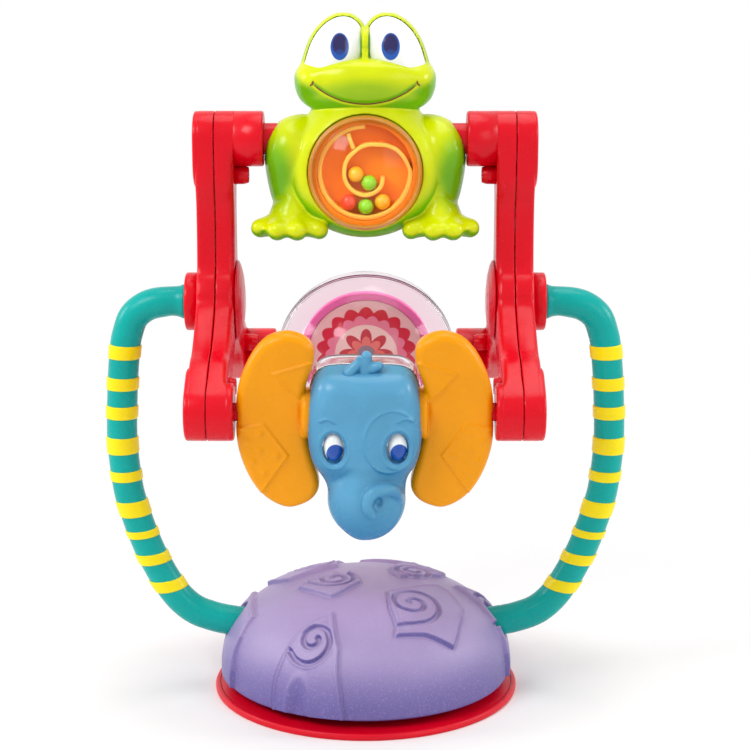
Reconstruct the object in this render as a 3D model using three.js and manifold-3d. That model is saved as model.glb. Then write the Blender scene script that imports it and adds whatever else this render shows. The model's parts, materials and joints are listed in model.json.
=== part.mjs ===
// Suction cup spinner rattle: a three-armed wheel on two bowed handles over a domed base.
// Millimetres, +Z up, -Y to the front. The origin is on the table, under the middle of the toy's outer
// box. The pieces are drawn about the cup's middle, which lies a little in front of it.
import * as THREE from 'three';
import { mergeVertices } from 'three/addons/utils/BufferGeometryUtils.js';
import Module from 'manifold-3d';

const wasm = await Module();
wasm.setup();

// Fits and walls
const fitGap = 0.3;            // between seated pieces
const splitGap = 0.3;          // between the two halves of a moulded shell
const runningGap = 0.4;        // round an axle that a station turns on
const overrun = 2;             // how far a cut runs past what it cuts
const shellWall = 2;
const clearWall = 1.6;
const screwShankRadius = 1.2;
const screwHeadRadius = 2.3;
const screwHeadHeight = 1.5;

// Base
const cupRadius = 54;
const cupRimWidth = 2.6;
const cupRimHeight = 2.2;
const cupShoulderRadius = 14;
const cupHollowHeight = 5.4;
const cupNeckRadius = 6;
const cupHeadRadius = 9.5;
const cupHeadHeight = 4;
const baseRimHeight = 5.6;
const domeRadius = 50.8;
const domeHeight = 33.6;
const plateRecess = 2.1;
const plateThickness = 2.5;
const plateSideGap = 1.3;      // the dome's wall draws in above its rim
const pillarRadius = 3.6;
const pillarCircleRadius = 27;
const basePillarScrewDepth = 12;

// Wheel
const wheelRadius = 56;
const sweepGap = 1.4;          // frog's head to the dome as the wheel turns
const frogReach = 42.8;        // frog's axle to the top of its eyes
const hubHeight = baseRimHeight + domeHeight + sweepGap + wheelRadius + frogReach;
const stationCount = 3;
const knuckleRadius = 9.4;
const hubRadius = 14.6;
const frameSideGap = 6.2;      // frog's feet to the arms
const knuckleLeast = 2;        // how far the elephant's knuckles stand out, as its ears leave room
const innerFrameDepth = 6.3;
const outerFrameDepth = 6.3;
const padThickness = 1.5;
const padLength = 16.8;
const hubBossRadius = 10;
const hubBossThickness = 4.7;
const screwBossRadius = 3;
const screwBossDrop = 12.3;    // along the arm, from the knuckle's axis
const screwBossLength = 4.7;
const capDepth = 2.5;

// Handles
const tubeRadius = 5.3;
const handleReach = 86.1;      // the wheel's middle plane to the handle's axis at its widest
const collarRadius = 6.1;
const collarLength = 2.2;
const spindleRadius = 4.5;
const hubScrewRadius = 1.6;
const hubScrewHeadRadius = 3.6;
const hubWasherRadius = 8.1;
const hubWasherThickness = 1.6;
const socketHeight = 22.2;
const tubeEndInset = 14;       // how far the handle's end lies inside the dome's rim radius

// Stations
const frogBarRadius = 5.3;
const elephantBarRadius = 3;
const ballPinRadius = 3;
const bellyDrop = 10.2;
const bezelRadius = 19.1;
const bezelWall = 0.8;
const bezelLip = 2.2;
const bellySeatDepth = 11.6;
const flangeThickness = 1;
const lensThickness = 1.4;
const lensBulge = 6;
const beadRadius = 2.65;
const trayFloorDepth = 7.6;
const mazeWall = 1.2;
const ballHalfWidth = 33;
const ballRadius = 31.2;
const pictureRingRadius = 24.5;
const pictureRingWidth = 2.8;
const pictureRingDepth = 2.2;
const pictureLipWidth = 0.9;   // behind the picture's edge
const ringSeatWidth = 0.93;    // on the back half's ledge
const pictureThickness = 0.8;
const earReach = 41.7;
const earHeight = 30.5;
const earDrop = 2.7;           // ears' middle below their axle
const earThickness = 10;
const earSleeveRadius = 8.2;
const headHalfWidth = 18.6;
const headHeight = 16.8;       // elephant's axle to the top of its head
const trunkDrop = 41.5;
const faceDepth = 13;
const skullDepth = 12;
const elephantLean = THREE.MathUtils.degToRad(10);
const ballLean = THREE.MathUtils.degToRad(10);

// Facets
const fineSides = 32;
const roundSides = 12;
const smallSides = 8;
const frogSides = 12;
const bellySides = 20;
const toeSides = 8;
const tubeSides = 10;
const ballSides = 16;

const wheel = new THREE.Group();
const toy = new THREE.Group();
toy.add(wheel);
wheel.position.z = hubHeight;

// Colours
const red = { color: 0xe10023, roughness: 0.28 };
const cupRed = { color: 0xdc0028, roughness: 0.35 };
const lavender = { color: 0x8b7cc4, roughness: 0.55 };
const turquoise = { color: 0x14a8a0, roughness: 0.3 };
const lime = { color: 0xcfe612, roughness: 0.3 };
const eyeWhite = { color: 0xf6f8f4, roughness: 0.25 };
const amber = { color: 0xb87428, roughness: 0.25 };
const orange = { color: 0xea7a18, roughness: 0.35 };
const earOrange = { color: 0xf4a000, roughness: 0.32 };
const skyBlue = { color: 0x5c9ec8, roughness: 0.3 };
const pink = { color: 0xf27cb8, roughness: 0.35 };
const cream = { color: 0xf8ece0, roughness: 0.5 };
const steel = { color: 0xb9bdc2, roughness: 0.35, metalness: 1 };
const clear = { color: 0xf3f5f7, roughness: 0.08, transparent: true, opacity: 0.35 };
const beadRed = { color: 0xe84a30, roughness: 0.25 };
const beadYellow = { color: 0xf8b020, roughness: 0.25 };
const beadGreen = { color: 0x8fcf20, roughness: 0.25 };

// Solids are closed meshes with shared corners. A mirrored or inside-out one is turned the right way.
function solidOf(geometry) {
  const bare = geometry.clone();
  bare.deleteAttribute('normal');
  bare.deleteAttribute('uv');
  const merged = mergeVertices(bare);
  const corners = merged.attributes.position;
  const kept = [];
  const [a, b, c] = [new THREE.Vector3(), new THREE.Vector3(), new THREE.Vector3()];
  let volume = 0;
  for (let i = 0; i < merged.index.count; i += 3) {
    const [ia, ib, ic] = [0, 1, 2].map((k) => merged.index.getX(i + k));
    if (ia === ib || ib === ic || ic === ia) continue;
    kept.push(ia, ib, ic);
    a.fromBufferAttribute(corners, ia);
    b.fromBufferAttribute(corners, ib);
    c.fromBufferAttribute(corners, ic);
    volume += a.dot(b.cross(c));
  }
  if (volume < 0) kept.reverse();
  const vertProperties = Float32Array.from(corners.array);
  return new wasm.Manifold(new wasm.Mesh({ numProp: 3, vertProperties, triVerts: Uint32Array.from(kept) }));
}

function joined(solids) {
  return solids.reduce((whole, solid) => whole.add(solid));
}

function addPiece(parent, name, solid, look) {
  const { vertProperties, triVerts } = solid.getMesh();
  const geometry = new THREE.BufferGeometry();
  geometry.setAttribute('position', new THREE.BufferAttribute(vertProperties, 3));
  geometry.setIndex(new THREE.BufferAttribute(triVerts, 1));
  geometry.computeVertexNormals();
  const mesh = new THREE.Mesh(geometry, new THREE.MeshStandardMaterial(look));
  mesh.name = name;
  parent.add(mesh);
  return mesh;
}

// A profile is a list of [radius, place along the axis].
function latheGeometry(profile, sides) {
  return new THREE.LatheGeometry(profile.map(([r, h]) => new THREE.Vector2(r, h)), sides);
}

function latheZ(profile, sides) {
  return solidOf(latheGeometry(profile, sides).rotateX(Math.PI / 2));
}

function latheX(profile, sides, y = 0, z = 0) {
  return solidOf(latheGeometry(profile, sides).rotateZ(-Math.PI / 2).translate(0, y, z));
}

function latheY(profile, sides, z = 0) {
  return solidOf(latheGeometry(profile, sides).translate(0, 0, z));
}

function rodX(radius, x0, x1, sides, y = 0, z = 0) {
  return latheX([[0, x0], [radius, x0], [radius, x1], [0, x1]], sides, y, z);
}

function rodY(radius, y0, y1, sides, z = 0) {
  return latheY([[0, y0], [radius, y0], [radius, y1], [0, y1]], sides, z);
}

function block(x0, x1, y0, y1, z0, z1) {
  const box = new THREE.BoxGeometry(x1 - x0, y1 - y0, z1 - z0);
  return solidOf(box.translate((x0 + x1) / 2, (y0 + y1) / 2, (z0 + z1) / 2));
}

function ellipsoid([x, y, z], [rx, ry, rz], sides, tilt = 0) {
  const ball = new THREE.SphereGeometry(1, sides, sides / 2).scale(rx, ry, rz);
  return solidOf(ball.rotateY(tilt).translate(x, y, z));
}

// The shape's own X and Y become Y and Z, and it runs along X.
function slabX(shape, x0, x1) {
  const depth = Math.abs(x1 - x0);
  const slab = new THREE.ExtrudeGeometry(shape, { depth, bevelEnabled: false });
  const turn = new THREE.Matrix4().makeBasis(
    new THREE.Vector3(0, 1, 0), new THREE.Vector3(0, 0, 1), new THREE.Vector3(1, 0, 0));
  return solidOf(slab.applyMatrix4(turn).translate(Math.min(x0, x1), 0, 0));
}

// The shape's own X and Y become X and Z, and it runs along Y, with rounded edges.
function slabY(shape, y0, y1, bevel) {
  const depth = y1 - y0 - 2 * bevel;
  const edge = { bevelEnabled: bevel > 0, bevelThickness: bevel, bevelSize: bevel, bevelOffset: -bevel };
  const slab = new THREE.ExtrudeGeometry(shape, { depth, ...edge, bevelSegments: 2, curveSegments: 6 });
  return solidOf(slab.rotateX(Math.PI / 2).translate(0, y1 - bevel, 0));
}

function shapeFrom(points) {
  return new THREE.Shape(points.map(([x, y]) => new THREE.Vector2(x, y)));
}

function sweep(curve, radius, sides, steps) {
  const section = new THREE.Shape();
  for (let i = 0; i < sides; i += 1) {
    const turn = (2 * Math.PI * i) / sides;
    const corner = [radius * Math.cos(turn), radius * Math.sin(turn)];
    if (i === 0) section.moveTo(...corner);
    else section.lineTo(...corner);
  }
  return solidOf(new THREE.ExtrudeGeometry(section, { steps, extrudePath: curve, bevelEnabled: false }));
}

// Base: the cup, the plate that it buttons into, and the dome screwed down on the plate
const plateBottom = baseRimHeight + plateRecess;
const plateTop = plateBottom + plateThickness;
const domeTopShares = [0, 0.04, 0.14, 0.28, 0.46, 0.66, 0.84, 1];
const domeRoundness = 2.6;

function domeProfile(inset) {
  const radius = domeRadius - inset;
  const height = domeHeight - inset;
  return domeTopShares.map((share) => {
    const rise = (1 - (1 - share) ** domeRoundness) ** (1 / domeRoundness);
    return [radius * (1 - share), baseRimHeight + height * rise];
  });
}

function suctionCup() {
  const rimStart = cupRadius - cupRimWidth;
  const underShares = [[1, 0], [0.88, 0.35], [0.66, 0.78], [0.42, 1], [0, 1]];
  const topShares = [[0.9, 0.12], [0.72, 0.36], [0.5, 0.66], [0.36, 0.86]];
  const headShapeShares = [[1, 0], [0.8, 0.7], [0.4, 1], [0, 1]];
  const shoulderHeight = plateBottom - fitGap;
  const neckTop = plateTop + fitGap;
  const climb = shoulderHeight - cupRimHeight;
  const profile = [
    ...underShares.map(([r, h]) => [rimStart * r, cupHollowHeight * h]).reverse(),
    [cupRadius - fitGap, 0],
    [cupRadius, fitGap],
    [cupRadius, cupRimHeight],
    [cupRadius - cupRimWidth / 2, cupRimHeight],
    ...topShares.map(([r, h]) => [cupRadius * r, cupRimHeight + climb * h]),
    [cupShoulderRadius, shoulderHeight],
    [cupNeckRadius, shoulderHeight],
    [cupNeckRadius, neckTop],
    ...headShapeShares.map(([r, h]) => [cupHeadRadius * r, neckTop + cupHeadHeight * h]),
  ];
  return latheZ(profile, fineSides);
}

const pillarAngles = [0, 1, 2].map((i) => Math.PI / 2 + (i * 2 * Math.PI) / 3);

function atPillar(solidMaker, angle) {
  return solidMaker(pillarCircleRadius * Math.cos(angle), pillarCircleRadius * Math.sin(angle));
}

function uprightRod(radius, z0, z1, sides, x, y) {
  const rod = latheGeometry([[0, z0], [radius, z0], [radius, z1], [0, z1]], sides);
  return solidOf(rod.rotateX(Math.PI / 2).translate(x, y, 0));
}

const screwSeat = plateBottom + screwHeadHeight - fitGap;

function basePlate() {
  const radius = domeRadius - shellWall - plateSideGap;
  const outline = [[0, plateBottom], [radius, plateBottom], [radius, plateTop], [0, plateTop]];
  let plate = latheZ(outline, fineSides);
  const endX = domeRadius - tubeEndInset;
  for (const side of [-1, 1]) {
    const [x0, x1] = [side * (endX + fitGap), side * (endX + tubeRadius)].sort((p, q) => p - q);
    plate = plate.add(block(x0, x1, -tubeRadius, tubeRadius, plateBottom + fitGap, socketHeight));
    plate = plate.subtract(sweep(handleCurve(side), tubeRadius + fitGap, roundSides, handleSteps));
  }
  plate = plate.subtract(uprightRod(cupNeckRadius + fitGap, 0, plateTop + overrun, roundSides, 0, 0));
  for (const angle of pillarAngles) {
    plate = plate.subtract(atPillar((x, y) => uprightRod(
      screwHeadRadius + fitGap, 0, screwSeat + fitGap, smallSides, x, y), angle));
    plate = plate.subtract(atPillar((x, y) => uprightRod(
      screwShankRadius + fitGap, 0, plateTop + overrun, smallSides, x, y), angle));
  }
  return plate;
}

function baseDome() {
  const outline = [[0, baseRimHeight], ...domeProfile(0)];
  const outer = latheZ(outline, fineSides);
  const floorCut = baseRimHeight - overrun;
  const hollow = [[0, floorCut], [domeRadius - shellWall, floorCut], ...domeProfile(shellWall)];
  let dome = outer.subtract(latheZ(hollow, fineSides));
  for (const angle of pillarAngles) {
    const pillar = atPillar((x, y) => uprightRod(
      pillarRadius, plateTop + fitGap, baseRimHeight + domeHeight, smallSides, x, y), angle);
    dome = dome.add(pillar.intersect(outer));
    dome = dome.subtract(atPillar((x, y) => uprightRod(
      screwShankRadius + fitGap, 0, plateTop + basePillarScrewDepth + fitGap, smallSides, x, y), angle));
  }
  for (const side of [-1, 1]) {
    dome = dome.subtract(sweep(handleCurve(side), tubeRadius + fitGap, roundSides, handleSteps));
  }
  return dome;
}

function baseScrew(x, y) {
  const headBottom = screwSeat - screwHeadHeight;
  return uprightRod(screwHeadRadius, headBottom, screwSeat, smallSides, x, y)
    .add(uprightRod(screwShankRadius, headBottom, plateTop + basePillarScrewDepth, smallSides, x, y));
}

// Wheel frames: an inner and an outer moulded shell on each side, with a seam between them
const frogHalfWidthShare = 0.8925;
const frogHalfWidth = frogReach * frogHalfWidthShare;
const innerFace = Math.max(frogHalfWidth + frameSideGap, earReach + 2 * fitGap + knuckleLeast);
const seam = innerFace + innerFrameDepth;
const outerStart = seam + splitGap;
const outerFace = outerStart + outerFrameDepth;
const hubBossFace = outerFace + hubBossThickness;
const innerFloor = innerFace + shellWall;
const outerFloor = outerFace - shellWall;
const washerSeat = innerFace + 2 * shellWall;
const barEnd = outerFloor - fitGap;

const frogShoulderShare = 0.79;
const stations = {
  frog: { turn: 0, barRadius: frogBarRadius, knuckleEnd: frogReach * frogShoulderShare + 2 * fitGap },
  elephant: { turn: 1, barRadius: elephantBarRadius, knuckleEnd: earReach + 2 * fitGap },
  ball: { turn: 2, barRadius: ballPinRadius, knuckleEnd: ballHalfWidth + 2 * fitGap },
};

// Where a station's arm points: the frog's is up, the elephant's to the front and the ball's to the rear
function alongArm(turn, distance) {
  const angle = (2 * Math.PI * turn) / stationCount;
  return [-distance * Math.sin(angle), distance * Math.cos(angle)];
}

const neckShares = [[0.38, 0.8], [0.5, 0.74], [0.62, 0.76], [0.68, 0.9]];
const hubArcShares = [0.34, 0.5, 0.66];
const tipSteps = 6;

function frameOutline(inset) {
  const points = [];
  const place = (turn, along, across) => {
    const angle = (2 * Math.PI * turn) / stationCount;
    const [s, c] = [Math.sin(angle), Math.cos(angle)];
    points.push([-along * s - across * c, along * c - across * s]);
  };
  for (let turn = 0; turn < stationCount; turn += 1) {
    const padStart = wheelRadius - padLength;
    for (const [r, w] of neckShares) place(turn, wheelRadius * r, inset - knuckleRadius * w);
    place(turn, padStart, inset - knuckleRadius);
    for (let i = 0; i <= tipSteps; i += 1) {
      const bend = -Math.PI / 2 + (Math.PI * i) / tipSteps;
      const radius = knuckleRadius - inset;
      place(turn, wheelRadius + radius * Math.cos(bend), radius * Math.sin(bend));
    }
    place(turn, padStart, knuckleRadius - inset);
    for (const [r, w] of [...neckShares].reverse()) place(turn, wheelRadius * r, knuckleRadius * w - inset);
    for (const share of hubArcShares) place(turn + share, hubRadius - inset, 0);
  }
  return shapeFrom(points);
}

function padOutline(turn) {
  const points = [];
  for (let i = 0; i <= 2 * tipSteps; i += 1) {
    const bend = -Math.PI / 2 + (Math.PI * i) / tipSteps;
    const away = i <= tipSteps ? wheelRadius : wheelRadius - padLength + knuckleRadius;
    const [y, z] = alongArm(turn, away + knuckleRadius * Math.cos(bend));
    const [ay, az] = alongArm(turn, 1);
    points.push([y - az * knuckleRadius * Math.sin(bend), z + ay * knuckleRadius * Math.sin(bend)]);
  }
  return shapeFrom(points);
}

// The start of the screw's boss on the inner side of an arm, outside the knuckle's own end
function bossStart(knuckleEnd) {
  return Math.max(innerFace - screwBossLength, knuckleEnd);
}

function innerFrame(side) {
  const rod = (radius, x0, x1, sides, at = [0, 0]) => rodX(radius, side * x0, side * x1, sides, ...at);
  const back = seam + overrun;
  let shell = slabX(frameOutline(0), side * innerFace, side * seam);
  shell = shell.subtract(slabX(frameOutline(shellWall), side * innerFloor, side * back));
  shell = shell.add(rod(hubWasherRadius + fitGap + shellWall, innerFace, seam, roundSides));
  for (const { turn, barRadius, knuckleEnd } of Object.values(stations)) {
    const axis = alongArm(turn, wheelRadius);
    const boss = alongArm(turn, wheelRadius - screwBossDrop);
    const bossEnd = bossStart(knuckleEnd);
    const headSeat = bossEnd + screwHeadHeight + fitGap;
    shell = shell
      .add(rod(knuckleRadius, knuckleEnd, innerFloor, roundSides, axis))
      .add(rod(screwBossRadius, bossEnd, seam, smallSides, boss))
      .subtract(rod(barRadius + fitGap, knuckleEnd - overrun, back, roundSides, axis))
      .subtract(rod(screwHeadRadius + fitGap, bossEnd - overrun, headSeat, smallSides, boss))
      .subtract(rod(screwShankRadius + fitGap, bossEnd, back, smallSides, boss));
  }
  return shell
    .subtract(rod(hubWasherRadius + fitGap, innerFace - overrun, washerSeat, roundSides))
    .subtract(rod(spindleRadius + fitGap, innerFace, back, roundSides));
}

function outerFrame(side) {
  const rod = (radius, x0, x1, sides, at = [0, 0]) => rodX(radius, side * x0, side * x1, sides, ...at);
  const front = outerStart - overrun;
  let shell = slabX(frameOutline(0), side * outerStart, side * outerFace);
  shell = shell.subtract(slabX(frameOutline(shellWall), side * front, side * outerFloor));
  shell = shell
    .add(rod(hubBossRadius, outerFloor, hubBossFace, roundSides))
    .add(rod(spindleRadius + fitGap + shellWall, outerStart, outerFloor, roundSides));
  for (const { turn } of Object.values(stations)) {
    const boss = alongArm(turn, wheelRadius - screwBossDrop);
    shell = shell
      .add(slabX(padOutline(turn), side * outerFace, side * (outerFace + padThickness)))
      .add(rod(screwBossRadius, outerStart, outerFloor, smallSides, boss))
      .subtract(rod(screwShankRadius + fitGap, front, outerFloor, smallSides, boss));
  }
  return shell.subtract(rod(spindleRadius + fitGap, front, hubBossFace + overrun, roundSides));
}

function frameScrew(side, { turn, knuckleEnd }) {
  const at = alongArm(turn, wheelRadius - screwBossDrop);
  const start = bossStart(knuckleEnd);
  const head = rodX(screwHeadRadius, side * start, side * (start + screwHeadHeight), smallSides, ...at);
  return head.add(rodX(screwShankRadius, side * start, side * (outerFloor - fitGap), smallSides, ...at));
}

function hubCap(side) {
  const back = innerFace - fitGap;
  const plug = hubWasherRadius;
  const plugEnd = washerSeat - 2 * fitGap - hubWasherThickness - fitGap;
  const capRadius = hubRadius - fitGap;
  const crown = [[0, 1], [0.35, 0.93], [0.65, 0.72], [0.88, 0.38], [1, 0]];
  const dome = crown.map(([r, h]) => [capRadius * r, back - capDepth * h]);
  const profile = [
    ...dome, [plug, back], [plug, plugEnd], [plug - shellWall, plugEnd],
    [plug - shellWall, back - fitGap], [0, back - fitGap],
  ];
  return latheX(profile.map(([r, x]) => [r, side * x]), roundSides);
}

function hubWasher(side) {
  const back = washerSeat - fitGap;
  const profile = [[hubScrewRadius + fitGap, back], [hubWasherRadius, back],
    [hubWasherRadius, back - hubWasherThickness], [hubScrewRadius + fitGap, back - hubWasherThickness],
    [hubScrewRadius + fitGap, back]];
  return latheX(profile.map(([r, x]) => [r, side * x]), roundSides);
}

const hubScrewSeat = washerSeat - 2 * fitGap - hubWasherThickness;
const hubScrewEnd = outerStart + fitGap;

function hubScrew(side) {
  const head = hubScrewSeat - screwHeadHeight + fitGap;
  return rodX(hubScrewHeadRadius, side * head, side * hubScrewSeat, smallSides)
    .add(rodX(hubScrewRadius, side * head, side * hubScrewEnd, smallSides));
}

// Handles: one bent tube a side, from a socket in the dome to the hub that it carries
const handleSteps = 26;
const handleHeightShares = [1, 1, 0.99, 0.963, 0.923, 0.88, 0.78, 0.65, 0.54, 0.48, 0.4, 0.33, 0.25];
const handleReachShares = [0.73, 0.8, 0.88, 0.938, 0.965, 0.979, 0.993, 1, 0.985, 0.965, 0.924, 0.877,
  0.803];
const approachShares = [[0.52, 0.18], [0.37, 0.085], [0.21, 0.035], [0, 0]];
const collarTipShare = 0.9;

function handleCurve(side) {
  const points = handleReachShares.map((share, i) => new THREE.Vector3(
    side * handleReach * share, 0, hubHeight * handleHeightShares[i]));
  const endX = domeRadius - tubeEndInset;
  for (const [out, up] of approachShares) {
    points.push(new THREE.Vector3(
      side * (endX + out * (handleReach - endX)), 0, socketHeight + up * domeHeight));
  }
  return new THREE.CatmullRomCurve3(points);
}

function handle(side) {
  const tube = sweep(handleCurve(side), tubeRadius, tubeSides, handleSteps);
  const collarBack = hubBossFace + fitGap;
  const collarEnd = collarBack + collarLength;
  const collar = [[0, collarBack], [collarRadius, collarBack], [collarRadius * collarTipShare, collarEnd],
    [0, collarEnd]];
  const spindleEnd = handleReach * handleReachShares[0] + collarLength;
  const rod = (radius, x0, x1, sides) => rodX(radius, side * x0, side * x1, sides, 0, hubHeight);
  return tube
    .add(latheX(collar.map(([r, x]) => [r, side * x]), roundSides, 0, hubHeight))
    .add(rod(spindleRadius, washerSeat, spindleEnd, roundSides))
    .subtract(rod(hubScrewRadius + fitGap, washerSeat - overrun, hubScrewEnd + fitGap, smallSides));
}

// Frog: two shells round its bar, with a bead maze in the belly
const lobeShares = {
  skull: [[0, 0.02, 0.57], [0.44, 0.27, 0.24]],
  neck: [[0, 0.02, 0.14], [0.4, 0.28, 0.28]],
  shoulder: [[0.52, 0.01, -0.11], [0.27, 0.28, 0.37]],
  leg: [[0.565, -0.01, -0.38], [0.205, 0.26, 0.27]],
  ankle: [[0.48, -0.07, -0.57], [0.22, 0.27, 0.15]],
  foot: [[0.6, -0.09, -0.655], [0.22, 0.24, 0.1]],
};
const headShares = [[0, 0, 0.432], [0.565, 0.315, 0.222]];
const eyeShares = [[0.203, 0.01, 0.62], [0.27, 0.27, 0.378]];
const eyeTilt = THREE.MathUtils.degToRad(13);
const eyeInsetShares = [[0.198, -0.04, 0.61], [0.235, 0.262, 0.338]];
const eyeBackShare = 0.12;
const toeShares = [[0.815, -0.15, -0.65], [0.68, -0.28, -0.69], [0.525, -0.315, -0.695],
  [0.365, -0.24, -0.67]];
const toeRadiusShare = 0.077;
const torsoShares = [[0, -1.15], [1.01, -1.15], [1.08, -1.04], [1.16, -0.7], [1.17, -0.2], [1.13, 0.4],
  [1, 0.85], [0.7, 1.2], [0, 1.35]];
const torsoCavityShares = [[0, -0.8], [1, -0.8], [1.06, -0.1], [1, 0.45], [0.7, 0.95], [0, 1.1]];

function frogLobe([place, size], mirror, grow = 0, tilt = 0, sides = frogSides) {
  const at = place.map((share) => share * frogReach);
  at[0] *= mirror;
  return ellipsoid(at, size.map((share) => share * frogReach + grow), sides, tilt * mirror);
}

function torso(shares) {
  return latheY(shares.map(([r, y]) => [r * bezelRadius, y * bellySeatDepth]), bellySides, -bellyDrop);
}

function eyeInsert(mirror, grow) {
  const back = frogReach * eyeBackShare;
  const half = frogReach;
  const bridge = mirror * (2 * fitGap - grow);
  const [x0, x1] = [bridge, mirror * half].sort((p, q) => p - q);
  return frogLobe(eyeInsetShares, mirror, grow, eyeTilt)
    .intersect(block(x0, x1, -half, grow - back, 0, half));
}

function frogBody() {
  const pair = [-1, 1];
  const { skull, neck, shoulder, leg, ankle, foot } = lobeShares;
  const head = frogLobe(headShares, 1);
  let upper = joined([frogLobe(skull, 1), ...pair.map((m) => frogLobe(eyeShares, m, 0, eyeTilt))]);
  for (const m of pair) upper = upper.subtract(eyeInsert(m, fitGap));
  const limbs = pair.flatMap((m) => [
    ...[shoulder, leg, ankle, foot].map((lobe) => frogLobe(lobe, m)),
    ...toeShares.map((toe) => frogLobe([toe, Array(3).fill(toeRadiusShare)], m, 0, 0, toeSides)),
  ]);
  return joined([upper, head, frogLobe(neck, 1), torso(torsoShares), ...limbs]);
}

function frogShell(body, front) {
  const far = 2 * frogReach;
  const [y0, y1] = front ? [-far, -splitGap / 2] : [splitGap / 2, far];
  const trayHole = bezelRadius - bezelWall - 2 * fitGap - flangeThickness;
  let shell = body.intersect(block(-far, far, y0, y1, -far, far))
    .subtract(torso(torsoCavityShares))
    .subtract(frogLobe(lobeShares.neck, 1, -shellWall))
    .subtract(frogLobe(headShares, 1, -shellWall));
  if (front) {
    shell = shell
      .subtract(rodY(bezelRadius + fitGap, -far, -bellySeatDepth, bellySides, -bellyDrop))
      .subtract(rodY(trayHole + fitGap, -far, 0, bellySides, -bellyDrop));
  }
  return shell.subtract(rodX(frogBarRadius + runningGap, -far, far, roundSides));
}

const flangeRadius = bezelRadius - bezelWall - fitGap;
const trayFlangeFront = bellySeatDepth + fitGap + flangeThickness;
const lensBack = trayFlangeFront + fitGap;
const lensFront = lensBack + lensThickness;
const trayRadius = flangeRadius - flangeThickness;

function bellyBezel() {
  const [back, lip] = [-(bellySeatDepth + fitGap), -(lensFront + fitGap)];
  const inner = bezelRadius - bezelLip;
  const front = lip - flangeThickness;
  const profile = [[bezelRadius, back], [bezelRadius, front + fitGap], [bezelRadius - bezelWall, front],
    [inner, front], [inner, lip], [flangeRadius + fitGap, lip], [flangeRadius + fitGap, back],
    [bezelRadius, back]];
  return latheY(profile, bellySides, -bellyDrop);
}

function bellyLens() {
  const rim = bezelRadius - bezelLip - fitGap;
  const crownShares = [[1, 0], [0.86, 0.42], [0.62, 0.76], [0.32, 0.95], [0, 1]];
  const crown = (radius, back) => crownShares.map(([r, h]) => [radius * r, -(back + lensBulge * h)]);
  const rimEdge = [[flangeRadius, -lensBack], [flangeRadius, -lensFront]];
  const profile = [...crown(rim - lensThickness, lensBack).reverse(), ...rimEdge, ...crown(rim, lensFront)];
  return latheY(profile, bellySides, -bellyDrop);
}

// The maze's wall runs from the top round the left, winds in under the right and ends in the middle.
const mazeTurnShares = [[90, 1], [360, 1], [395, 0.86], [427, 0.66], [480, 0.5], [536, 0.46], [590, 0.48],
  [634, 0.5], [675, 0.46], [712, 0.37]];
const mazeSideGap = 0.75;
const mazeRadius = trayRadius - mazeWall - mazeSideGap;
const mazeStep = 15;
const postShares = [[-0.37, 0.86], [-0.24, 0.5]];

function mazeRadiusAt(degrees) {
  const next = mazeTurnShares.findIndex(([turn]) => turn >= degrees);
  const [t1, r1] = mazeTurnShares[Math.max(next, 1)];
  const [t0, r0] = mazeTurnShares[Math.max(next, 1) - 1];
  return mazeRadius * (r0 + ((r1 - r0) * (degrees - t0)) / (t1 - t0));
}

function mazeOutline() {
  const [outer, inner] = [[], []];
  const last = mazeTurnShares.at(-1)[0];
  for (let turn = mazeTurnShares[0][0]; turn <= last; turn += mazeStep) {
    const radius = mazeRadiusAt(turn);
    const angle = THREE.MathUtils.degToRad(turn);
    const spot = (r) => [r * Math.cos(angle), r * Math.sin(angle)];
    outer.push(spot(radius + mazeWall / 2));
    inner.push(spot(radius - mazeWall / 2));
  }
  return shapeFrom([...outer, ...inner.reverse()]);
}

function postOutline() {
  const [[x0, z0], [x1, z1]] = postShares.map(([x, z]) => [x * mazeRadius, z * mazeRadius]);
  const [dx, dz] = [x1 - x0, z1 - z0];
  const half = mazeWall / 2 / Math.hypot(dx, dz);
  return shapeFrom([[x0 - dz * half, z0 + dx * half], [x0 + dz * half, z0 - dx * half],
    [x1 + dz * half, z1 - dx * half], [x1 - dz * half, z1 + dx * half]]);
}

function mazeTray() {
  const back = trayFloorDepth - mazeWall;
  const [seat, front] = [bellySeatDepth + fitGap, trayFlangeFront];
  const bore = trayRadius - mazeWall / 2;
  const wallStart = back + mazeWall / 2;
  const profile = [[0, -back], [trayRadius, -back], [trayRadius, -seat], [flangeRadius, -seat],
    [flangeRadius, -front], [bore, -front], [bore, -trayFloorDepth], [0, -trayFloorDepth]];
  const walls = [mazeOutline(), postOutline()].map((shape) => {
    const wall = new THREE.ExtrudeGeometry(shape, { depth: front - wallStart, bevelEnabled: false });
    return solidOf(wall.rotateX(Math.PI / 2).translate(0, -wallStart, -bellyDrop));
  });
  return joined([latheY(profile, bellySides, -bellyDrop), ...walls]);
}

// Where each bead lies: its way round the belly from the right, and its share of the way out
const outerTrack = mazeRadius - mazeWall / 2 - beadRadius - fitGap;
const beads = {
  outer_bead_red: { turn: 241.5, outShare: 1, look: beadRed },
  outer_bead_green: { turn: 271, outShare: 1, look: beadGreen },
  outer_bead_yellow: { turn: 300, outShare: 1, look: beadYellow },
  inner_bead_yellow: { turn: 195, outShare: 0.28, look: beadYellow },
  inner_bead_green: { turn: 290, outShare: 0.335, look: beadGreen },
};

function bead({ turn, outShare }) {
  const angle = THREE.MathUtils.degToRad(turn);
  const out = outerTrack * outShare;
  const depth = trayFloorDepth + beadRadius + fitGap;
  const place = [out * Math.cos(angle), -depth, out * Math.sin(angle) - bellyDrop];
  return ellipsoid(place, Array(3).fill(beadRadius), smallSides);
}

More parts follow.
